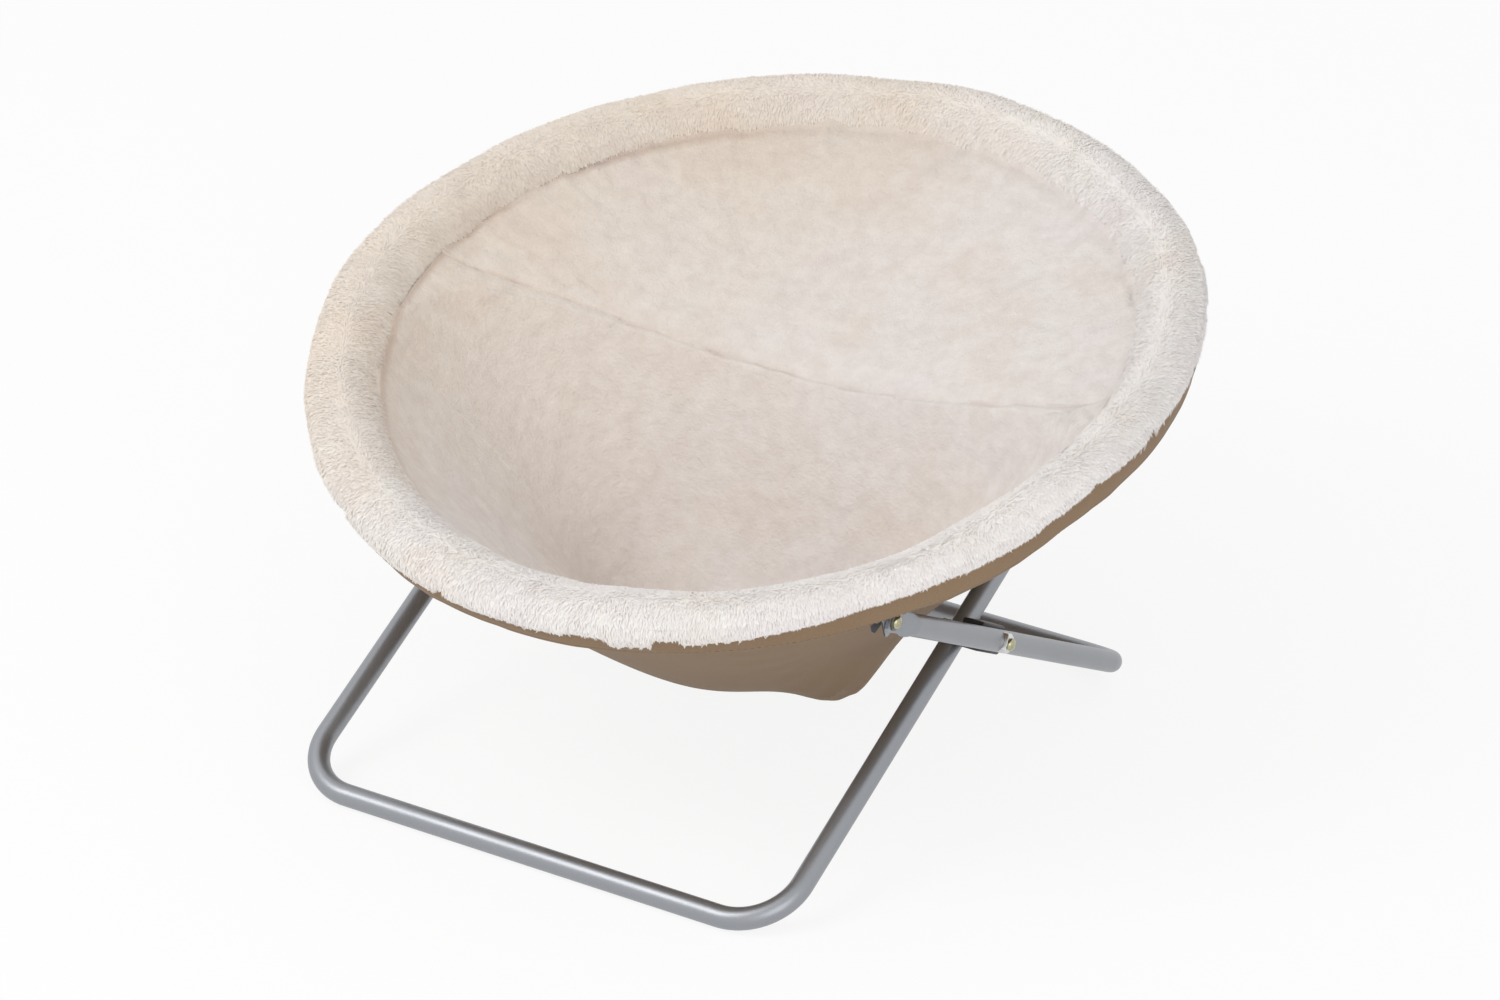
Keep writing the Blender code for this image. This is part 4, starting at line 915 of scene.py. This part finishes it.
def band_lines(angle):
    """The canvas's section at each angle, outer and inner: round the tube, then up the roll to its hem."""
    grid, degrees = np.meshgrid(angle, SLEEVE_TURNS, indexing="ij")
    turn = np.radians(degrees)
    puff = bumps(ring_place(grid, turn * 0.03 * HOOP_RADIUS), (0.0006, 0.045, 51, 2), (0.0003, 0.014, 52, 1))
    ridge = 0.0009 * groove(degrees + 44.0, 6.0) - 0.0005 * groove(degrees + 32.0, 5.0)
    loose = around_hoop(grid, BAND_RADII) + puff
    from_inside, to_outside = smooth_step((degrees + 166.0) / 45.0), smooth_step((degrees + 50.0) / 30.0)
    radius = BAND_OUTER + (loose - BAND_OUTER) * from_inside
    radius = radius + (np.maximum(loose, BAND_OUTER) - radius) * to_outside + ridge
    tight = bracket_window(np.cos(grid) * HOOP_RADIUS, np.sin(grid) * HOOP_RADIUS)
    lines = []
    inner_radius = np.maximum(radius - CLOTH_THICKNESS, HOOP_TUBE_RADIUS + 0.0001)
    for ring_radius, floor in ((radius, BRACKET_TOP - 0.0001), (inner_radius, BAND_FLOOR)):
        out, up = ring_radius * np.cos(turn), ring_radius * np.sin(turn)
        lines.append((out, up * (1.0 - tight) + np.maximum(up, -floor) * tight))
    share = np.linspace(0.0, 1.0, FACING_STEPS + 1)[1:]
    hem_out, hem_up = (part[:, None] for part in hem_place(angle))
    first_out, first_up = lines[0][0][:, -1:], lines[0][1][:, -1:]
    top_out, top_up = hem_out - FACING_DEPTH, np.maximum(hem_up + FACING_TUCK, first_up + 0.002)
    up = first_up + (top_up - first_up) * share
    out = first_out + (top_out - first_out) * (0.6 * share + 0.4 * share * share)
    out = out + 0.0010 * np.sin(np.pi * share) + 0.0004 * noise(ring_place(angle), 0.03, 53)[:, None] * share
    wrinkle = noise(ring_place(grid[:, :FACING_STEPS], up * 0.5), 0.012, 54) * 0.0004 * np.sin(np.pi * share)
    return [(np.concatenate([arc_out, out + wrinkle - depth], axis=1), np.concatenate([arc_up, up], axis=1))
            for (arc_out, arc_up), depth in zip(lines, (0.0, CLOTH_THICKNESS))]


def sleeve(half):
    """The canvas round the tube, and the facing that goes on from it up the roll."""
    angle = half_angles(half, SLEEVE_STEPS[half])
    lines = band_lines(angle)
    grid = np.repeat(angle[:, None], lines[0][0].shape[1], axis=1)
    outer, inner = (hoop_place(grid, out, up) for out, up in lines)
    normal = grid_normals(outer)
    centre = hoop_place(grid, 0.0, 0.001)
    normal *= np.sign(np.sum(normal * (outer - centre), axis=-1, keepdims=True))

    def strip(name, columns):
        back = inner[:, columns][:, ::-1]
        ring = np.concatenate([outer[:, columns], back], axis=1)
        piece = new_object(name + half, ring.reshape(-1, 3), closed_rings(*ring.shape[:2]), BROWN)
        clean(piece.data)
        seam = np.zeros(ring.shape[:2])
        turns = SLEEVE_TURNS[columns]
        # Painted shade in the groove of the sleeve's lower seam.
        seam[:, :len(turns)] = 0.3 * groove(turns + 32.0, 4.0)
        mark(piece, "seam", seam)
        give_normals(piece, np.concatenate([normal[:, columns], np.zeros_like(back)], axis=1).reshape(-1, 3))
        return piece

    last = len(SLEEVE_TURNS)
    tube_sleeve = strip("canvas_sleeve_", slice(last))
    seam = stitches(half)
    fit_to(tube_sleeve, half + "_ring", "brown_canvas", "hoop_sleeve_" + half)
    facing = strip("canvas_facing_", slice(last - 1, None))
    fit_soft(facing, half, slot="brown_canvas", keep=ROLL_KEEP)


def stitches(half):
    """A row of short stitches along the sleeve's lower seam, each a thread that dips in at both ends."""
    spacing, half_length, thread, bow = 0.0046, 0.0016, 0.00036, 0.00035
    ends = half_angles(half, 2)
    count = int(abs(ends[1] - ends[0]) * HOOP_RADIUS / spacing)
    stations = np.linspace(0.0, 1.0, STITCH_STATIONS)
    sides = np.linspace(0.0, math.tau, STITCH_SIDES, endpoint=False)
    index, share, around = np.meshgrid(np.arange(count), stations, sides, indexing="ij")
    bulge = np.sin(math.pi * share)
    middle = ends[0] + (ends[1] - ends[0]) * (index + 0.5) / count
    angle = middle + half_length / HOOP_RADIUS * (2.0 * share - 1.0)
    thick = thread * (0.25 + 0.75 * bulge)
    radius = BAND_OUTER - 0.0005 + bow * bulge + thick * np.cos(around)
    turn = math.radians(-31.0) + thick * np.sin(around) / BAND_OUTER
    points = hoop_place(angle, radius * np.cos(turn), radius * np.sin(turn)).reshape(-1, 3)
    faces = []
    for number in range(count):
        faces += closed_rings(STITCH_STATIONS, STITCH_SIDES, number * STITCH_STATIONS * STITCH_SIDES)
    piece = new_object("sleeve_stitches_" + half, points, faces, THREAD)
    fit_to(piece, half + "_ring", "brown_canvas")
    return piece


# Tubes

def section_ring(centre, side, up, half_side, half_up, square=0.0):
    """A tube's section, which goes from an oval to a flat plate with slightly rounded edges."""
    turn = np.linspace(0.0, math.tau, TUBE_SIDES, endpoint=False)
    c, s = np.cos(turn), np.sin(turn)
    power = 1.0 - 0.72 * square
    flat_c = np.sign(c) * np.abs(c) ** power
    flat_s = np.sign(s) * np.abs(s) ** power
    return centre + side * (half_side * flat_c)[:, None] + up * (half_up * flat_s)[:, None]


def tube_piece(name, right_half, body, node):
    """A tube through section rings, from those of its right half and their mirror image."""
    sections = np.array([ring * (-1.0, 1.0, 1.0) for ring in reversed(right_half[1:])] + right_half)
    piece = new_object(name, sections.reshape(-1, 3), closed_rings(*sections.shape[:2]), GREY)
    clean(piece.data)
    piece.data.set_sharp_from_angle(angle=math.radians(38.0))
    fit_to(piece, body, "grey_paint", node)


def leg(where, bar, way, half_width, corner_run, end):
    """A U of tube whose ends are pressed flat for their bolts."""
    normal = np.cross(X_AXIS, way)
    normal = normal if normal[2] > 0 else -normal
    sections = []

    def station(point, tangent, plate=0.0, height=None):
        up = unit(normal - tangent * np.dot(normal, tangent))
        if abs(tangent[0]) < 0.5:
            up = unit(np.cross(tangent, X_AXIS))
            up = up if np.dot(up, normal) > 0 else -up
        side = unit(np.cross(tangent, up))
        half_side = LEG_TUBE_RADIUS + (PLATE_HALF_THICKNESS - LEG_TUBE_RADIUS) * plate
        target = LEG_PLATE_HALF_HEIGHT if height is None else height
        half_up = LEG_TUBE_RADIUS + (target - LEG_TUBE_RADIUS) * plate
        bulge = 0.0014 * math.sin(math.pi * min(1.0, plate)) if height is None else 0.0
        sections.append(section_ring(point, side, up, half_side, half_up + bulge, plate ** 2))

    for share in np.linspace(0.0, 1.0, 6, endpoint=False):
        station(bar + X_AXIS * (half_width - LEG_BEND_RADIUS) * share, X_AXIS)
    centre = bar + X_AXIS * (half_width - LEG_BEND_RADIUS) + way * LEG_BEND_RADIUS
    for turn in np.radians(np.linspace(0.0, 90.0, 22)):
        point = centre + X_AXIS * LEG_BEND_RADIUS * math.sin(turn) - way * LEG_BEND_RADIUS * math.cos(turn)
        station(point, unit(X_AXIS * math.cos(turn) + way * math.sin(turn)))
    aside = X_AXIS * half_width
    heading = way
    if corner_run is not None:
        corner = bar + way * corner_run
        heading = unit(end - corner)
        bend = math.acos(np.clip(np.dot(way, heading), -1.0, 1.0))
        inward = unit(heading - way * np.dot(heading, way))
        start = corner - way * UPPER_BEND_RADIUS * math.tan(bend / 2.0)
        for turn in np.linspace(0.0, bend, 9):
            tangent = way * math.cos(turn) + inward * math.sin(turn)
            point = start + way * UPPER_BEND_RADIUS * math.sin(turn)
            point = point + inward * UPPER_BEND_RADIUS * (1.0 - math.cos(turn))
            station(point + aside, tangent)
    for run in np.linspace(-0.034, -0.0085, 18):
        pressed = min(1.0, max(0.0, (PRESS_START + run) / (PRESS_START - PRESS_END)))
        station(end + heading * run + aside, heading, pressed)
    for run, height in PLATE_ENDS:
        station(end + heading * run + aside, heading, 1.0, height)
    tube_piece(where + "_leg_tube", sections, where + "_legs", where + "_leg_frame")


def hoop(half):
    """Half a hoop of tube, with its ends pressed flat at the hinge."""
    way = -1.0 if half == "front" else 1.0
    along, normal = ALONG[half], NORMAL[half]
    beside = HINGE_WASHER_HALF + SEAT_GAP + PLATE_HALF_THICKNESS
    plate_x = HOOP_RADIUS * math.cos(HINGE_ANGLE) + way * beside
    sections = []
    for angle in np.linspace(way * math.pi / 2.0, HINGE_ANGLE, 80):
        x, v = HOOP_RADIUS * math.cos(angle), HOOP_RADIUS * math.sin(angle)
        if abs(v + HINGE_FORWARD) > HINGE_PRESS_START + 0.001:
            centre = HINGE + X_AXIS * x + along * (v + HINGE_FORWARD)
            outward = X_AXIS * math.cos(angle) + along * math.sin(angle)
            sections.append(section_ring(centre, outward, normal, HOOP_TUBE_RADIUS, HOOP_TUBE_RADIUS))
    for share in np.linspace(0.0, 1.0, 10):
        run = HINGE_PRESS_START + (HINGE_PRESS_END - HINGE_PRESS_START) * share
        x = math.sqrt(HOOP_RADIUS ** 2 - (way * run - HINGE_FORWARD) ** 2)
        x += (plate_x - x) * float(smooth_step(share))
        centre = HINGE + X_AXIS * x + along * way * run
        half_side = HOOP_TUBE_RADIUS + (PLATE_HALF_THICKNESS - HOOP_TUBE_RADIUS) * share
        half_up = HOOP_TUBE_RADIUS + (HINGE_PLATE_HALF_HEIGHT - HOOP_TUBE_RADIUS) * share
        sections.append(section_ring(centre, X_AXIS, normal, half_side, half_up, share ** 2))
    for share in (0.0, 0.4, 0.7, 0.88, 0.97):
        centre = HINGE + X_AXIS * plate_x - along * way * HINGE_PLATE_HALF_HEIGHT * share
        height = HINGE_PLATE_HALF_HEIGHT * math.sqrt(1.0 - share * share)
        sections.append(section_ring(centre, X_AXIS, normal, PLATE_HALF_THICKNESS, height, 1.0))
    tube_piece(half + "_hoop_tube", sections, half + "_ring", half + "_hoop")


front_bar = np.array([0.0, HINGE[1] - FRONT_BAR_AHEAD, LEG_TUBE_RADIUS])
rear_bar = front_bar + np.array([0.0, BAR_SPACING, 0.0])
front_way = np.array([0.0, math.cos(FRONT_LEG_SLOPE), math.sin(FRONT_LEG_SLOPE)])
rear_way = np.array([0.0, -math.cos(REAR_LEG_SLOPE), math.sin(REAR_LEG_SLOPE)])
pivot_run = BAR_SPACING * math.sin(REAR_LEG_SLOPE) / math.sin(FRONT_LEG_SLOPE + REAR_LEG_SLOPE)
leg_pivot = front_bar + front_way * pivot_run
front_bolt = rear_bar + rear_way * REAR_LEG_LENGTH
rear_bolt_v = math.sqrt(HOOP_RADIUS ** 2 - FRONT_LEG_HALF_WIDTH ** 2)
rear_bolt = HINGE + ALONG["rear"] * (rear_bolt_v + HINGE_FORWARD) - NORMAL["rear"] * BOLT_DROP
LEG_ENDS = (("front", REAR_LEG_HALF_WIDTH, front_bolt), ("rear", FRONT_LEG_HALF_WIDTH, rear_bolt))


# Small hardware

BOLT_RADIUS = 0.003
BOLT_HEAD_RADIUS = 0.0047
PIVOT_HEAD_RADIUS = 0.0046
BOLT_DOME = (0.0034, 0.0006)
BOLT_FOOT = [(BOLT_RADIUS, -0.0175), (0.0026, -0.0195), (0.0, -0.0195)]
PIVOT_BOLT_FOOT = [(BOLT_RADIUS, -0.033), (0.0, -0.033)]
BOLT_WASHER = [(0.0031, 0.0007), (0.0058, 0.0007), (0.0062, 0.0004), (0.0062, 0.0), (0.0031, 0.0)]
SADDLE_HOLE = 0.0031
SADDLE_HALF_LENGTH = 0.0051
SADDLE_HALF_WIDTH = 0.0072
SADDLE_POWER = 3.4
SADDLE_STAND = 0.0022
SADDLE_BEND = 0.0016
# A saddle washer's rows: share of its outline, None at its hole, and depth below its top, None on the tube
SADDLE_ROWS = (
    (None, 0.0), (0.60, 0.0), (0.90, 0.0), (0.97, 0.00012), (1.0, 0.0005),
    (1.0, None), (0.60, None), (None, None),
)
# CAD pieces that stand as copies with rounded edges: node, name, material, body, slot and rounding
END_COPIES = (
    ("_bracket_nut_", "bolt_nut_", ZINC, "yellow_zinc", 0.0003),
    ("_bracket_rivet_", "hoop_rivet_", STEEL, "bare_steel", 0.0002),
)
COPIES = (
    ("leg_pivot_spacer_", "spacer_", BLACK, "rear_legs", "black_plastic", 0.0004),
    ("leg_pivot_nut_", "cap_nut_", ZINC, "front_legs", "yellow_zinc", 0.0003),
    ("hoop_hinge_rivet_", "hinge_rivet_", STEEL, "rear_ring", "bare_steel", 0.0002),
    ("hoop_hinge_washer_", "hinge_washer_", BLACK, "rear_ring", "black_plastic", 0.0001),
)


def turned(name, profile, point, way, material, body, slot, *nodes):
    """A turned piece: (radius, height) points from its top to its foot, spun round a direction."""
    radius, height = np.array(profile).T[..., None]
    turn = np.linspace(0.0, math.tau, TURNED_SIDES, endpoint=False)
    local = np.stack([radius * np.cos(turn), radius * np.sin(turn), height + 0.0 * turn], axis=-1)
    matrix = np.array(Vector(way).to_track_quat("Z", "Y").to_matrix())
    points = np.array(point) + local.reshape(-1, 3) @ matrix.T
    piece = new_object(name, points, grid_faces(len(profile), TURNED_SIDES, closed=True), material)
    clean(piece.data, FINE_JOIN_DISTANCE, TURNED_SIDES)
    piece.data.shade_smooth()
    piece.data.set_sharp_from_angle(angle=SHARP_ANGLE)
    fit_to(piece, body, slot, *nodes)


def bolt_profile(radius, foot):
    """A bolt with a domed head, from its crown to its foot."""
    height, rim = BOLT_DOME
    points = [(0.0, height)]
    for turn in np.radians(np.linspace(12.0, 90.0, 9)):
        points.append((radius * math.sin(turn), rim + (height - rim) * math.cos(turn)))
    return points + [(radius, 0.0003), (radius - 0.0003, 0.0), (BOLT_RADIUS, 0.0)] + foot


def fasteners():
    for side, hand in ((-1.0, "left"), (1.0, "right")):
        way = (side, 0.0, 0.0)
        for where, half_width, point in LEG_ENDS:
            end, body = where + "_" + hand, where + "_ring"
            seat = side * (half_width + PLATE_HALF_THICKNESS + SEAT_GAP)
            raised = (seat + side * BOLT_WASHER[0][1], point[1], point[2])
            under = (seat, point[1], point[2])
            turned("bolt_washer_" + end, BOLT_WASHER, under, way, DULL_ZINC, body, "bare_steel")
            turned("bracket_bolt_" + end, bolt_profile(BOLT_HEAD_RADIUS, BOLT_FOOT), raised, way, ZINC, body,
                   "yellow_zinc", where + "_bracket_bolt_" + hand)
        stand = LEG_TUBE_RADIUS + SEAT_GAP + SADDLE_STAND
        spot = (side * (REAR_LEG_HALF_WIDTH + stand), leg_pivot[1], leg_pivot[2])
        turned("pivot_bolt_" + hand, bolt_profile(PIVOT_HEAD_RADIUS, PIVOT_BOLT_FOOT), spot, way, ZINC,
               "rear_legs", "yellow_zinc", "leg_pivot_bolt_" + hand)
        saddle_washer(side, hand, stand)


def saddle_washer(side, hand, stand):
    """A plate under the pivot bolt, squarish, whose underside is bent to lie on the tube."""
    out = X_AXIS * side
    up = np.cross(out, rear_way)
    middle = out * REAR_LEG_HALF_WIDTH + leg_pivot * (0.0, 1.0, 1.0)
    ring = []
    for share, below in SADDLE_ROWS:
        for turn in np.linspace(0.0, math.tau, SADDLE_SIDES, endpoint=False):
            c, s = math.cos(turn), math.sin(turn)
            reach = (abs(c / SADDLE_HALF_LENGTH) ** SADDLE_POWER
                     + abs(s / SADDLE_HALF_WIDTH) ** SADDLE_POWER) ** (-1.0 / SADDLE_POWER)
            reach = SADDLE_HOLE if share is None else reach * share
            a, u = reach * c, reach * s
            height = stand - SADDLE_BEND * (u / SADDLE_HALF_WIDTH) ** 2 - (below or 0.0)
            if below is None:
                height = math.sqrt(max(0.0, (LEG_TUBE_RADIUS + 0.0001) ** 2 - u * u))
            ring.append(middle + out * height + rear_way * a + up * u)
    ring += ring[:SADDLE_SIDES]
    faces = grid_faces(len(SADDLE_ROWS) + 1, SADDLE_SIDES, closed=True)
    piece = new_object("pivot_washer_" + hand, ring, faces, PALE_ZINC)
    clean(piece.data, FINE_JOIN_DISTANCE)
    piece.data.set_sharp_from_angle(angle=SHARP_ANGLE)
    fit_to(piece, "rear_legs", "yellow_zinc", "leg_pivot_washer_" + hand)


def rounded_copy(node, name, material, body, slot, width):
    """A copy of a CAD node with its edges rounded, which stands for it."""
    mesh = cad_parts[node].data.copy()
    mesh.name = name
    mesh.materials.clear()
    mesh.materials.append(material)
    round_edges(mesh, SHARP_ANGLE, width, JOIN_DISTANCE)
    mesh.set_sharp_from_angle(angle=math.radians(32.0))
    fit_to(in_scene(name, mesh), body, slot, node)


def bracket(where, hand, half_width, point):
    """A channel of bent plate that hangs under the hoop's tube, open below and at both ends."""
    side = 1.0 if hand == "right" else -1.0
    along, normal = ALONG[where], NORMAL[where]
    outer = half_width - PLATE_HALF_THICKNESS - SEAT_GAP
    wide, wall = BRACKET_WIDTH / 2.0, BRACKET_WALL
    top, foot = BOLT_DROP - BRACKET_TOP, -BRACKET_BELOW

    def face_line(edge, above, bend, count):
        """One face of the channel in section: up a wall, round both corners and down again."""
        line = [(edge, foot)]
        for turn in np.radians(np.linspace(0.0, 90.0, count)):
            line.append((edge - bend + bend * math.cos(turn), above - bend + bend * math.sin(turn)))
        return line + [(-a, b) for a, b in reversed(line)]

    inside = face_line(wide - wall, top - wall, BRACKET_INNER_BEND, 5)
    section = face_line(wide, top, BRACKET_BEND, 7) + inside[::-1]
    ahead, behind = (BRACKET_LIP, BRACKET_BEHIND) if where == "front" else (BRACKET_BEHIND, BRACKET_LIP)
    stations = [(inward - ahead, trim) for inward, trim in BRACKET_CHAMFER] + [(0.0, 0.0)]
    stations += [(behind - inward, trim) for inward, trim in reversed(BRACKET_CHAMFER)]
    points = []
    for run, trim in stations:
        for a, b in section:
            b = b + trim if b < foot + 0.0001 else b
            points.append(point + X_AXIS * side * (outer - wide + a) + along * run + normal * b)
    faces = closed_rings(len(stations), len(section))
    piece = new_object("bracket_" + where + "_" + hand, points, faces, GREY)
    round_edges(piece.data, math.radians(50.0), 0.0002)
    piece.data.set_sharp_from_angle(angle=math.radians(35.0))
    # The channel's inner faces get a near-black material: painted shade for its recess.
    piece.data.materials.append(CHANNEL_SHADE)
    for face in piece.data.polygons:
        aside = abs(side * face.center[0] - outer + wide)
        above = float(np.dot(np.array(face.center) - point, normal))
        if aside < wide - wall + 0.0003 and above < top - wall + 0.0003:
            face.material_index = 1
    fit_to(piece, where + "_ring", "grey_paint", where + "_bracket_" + hand)


def small_parts():
    for hand in ("left", "right"):
        for where, half_width, point in LEG_ENDS:
            bracket(where, hand, half_width, point)
            for node, name, material, slot, width in END_COPIES:
                end = where + "_" + hand
                rounded_copy(where + node + hand, name + end, material, where + "_ring", slot, width)
        for node, name, material, body, slot, width in COPIES:
            rounded_copy(node + hand, name + hand, material, body, slot, width)


# Light, floor and camera

LIGHT_AIM = (0.0, 0.0, 0.2)
WORLD_LIGHT = 0.70
FLOOR_WHITENESS = 0.86
FLOOR_HALF_SIZE = 6.0
FLOOR_LEVEL = -0.0004


def add_light(name, place, size, power, colour):
    data = bpy.data.lights.new(name, "AREA")
    data.shape = "SQUARE"
    data.size = size
    data.energy = power
    data.color = colour
    light = in_scene(name, data)
    light.location = place
    light.rotation_euler = (Vector(LIGHT_AIM) - Vector(place)).to_track_quat("-Z", "Y").to_euler()


def show_instead(tree, lit, shown, share, output):
    """Mixes in what is seen straight, in gloss or through glass, by a share, over what lights the scene."""
    path = tree.nodes.new("ShaderNodeLightPath")
    seen = path.outputs["Is Camera Ray"]
    for kind in ("Is Glossy Ray", "Is Transmission Ray"):
        seen = combine(tree, "MAXIMUM", seen, path.outputs[kind])
    mix = tree.nodes.new("ShaderNodeMixShader")
    put(tree, combine(tree, "MULTIPLY", seen, share), mix.inputs[0])
    put(tree, lit.outputs[0], mix.inputs[1])
    put(tree, shown.outputs[0], mix.inputs[2])
    put(tree, mix.outputs[0], tree.nodes[output].inputs["Surface"])


def studio():
    world = bpy.data.worlds.new("studio")
    bpy.context.scene.world = world
    world.use_nodes = True
    tree = world.node_tree
    background = set_up(tree, tree.nodes["Background"], {"Color": WHITE, "Strength": WORLD_LIGHT})
    shown = add_node(tree, "ShaderNodeBackground", Color=WHITE, Strength=1.0)
    show_instead(tree, background, shown, 1.0, "World Output")
    add_light("key", (-1.4, -1.9, 2.5), 1.6, 34.0, (1.0, 0.985, 0.97))
    add_light("fill", (2.0, -1.8, 1.2), 1.8, 14.0, (0.98, 0.985, 1.0))
    material, tree, _ = new_material("floor_white")
    shader = set_shader(tree, Base_Color=(0.93, 0.93, 0.93), Roughness=0.9)
    white = add_node(tree, "ShaderNodeEmission", Color=WHITE, Strength=1.0)
    show_instead(tree, shader, white, FLOOR_WHITENESS, "Material Output")
    corners = [(x * FLOOR_HALF_SIZE, y * FLOOR_HALF_SIZE, FLOOR_LEVEL)
               for x, y in ((-1, -1), (1, -1), (1, 1), (-1, 1))]
    floor = new_object("floor", corners, [(0, 1, 2, 3)], material)


def photo_camera():
    azimuth, elevation = math.radians(31.5326), math.radians(27.5938)
    data = bpy.data.cameras.new("photo")
    data.sensor_width = 36.0
    data.lens = 137.37
    data.clip_end = 60.0
    camera = in_scene("photo", data)
    back = Vector((math.sin(azimuth) * math.cos(elevation), -math.cos(azimuth) * math.cos(elevation),
                   math.sin(elevation)))
    camera.rotation_euler = back.to_track_quat("Z", "Y").to_euler()
    camera.location = (1.8947, -2.7975 + front_bar[1], 2.0470)
    bpy.context.scene.camera = camera


leg("front", front_bar, front_way, FRONT_LEG_HALF_WIDTH, pivot_run + UPPER_BEND_START, rear_bolt)
leg("rear", rear_bar, rear_way, REAR_LEG_HALF_WIDTH, None, front_bolt)
for half in ("front", "rear"):
    hoop(half)
for half in ("front", "rear"):
    border(half)
    pile(half)
    nest_half(half)
    sleeve(half)
fasteners()
small_parts()
studio()
photo_camera()
bpy.context.scene.view_settings.view_transform = "Standard"
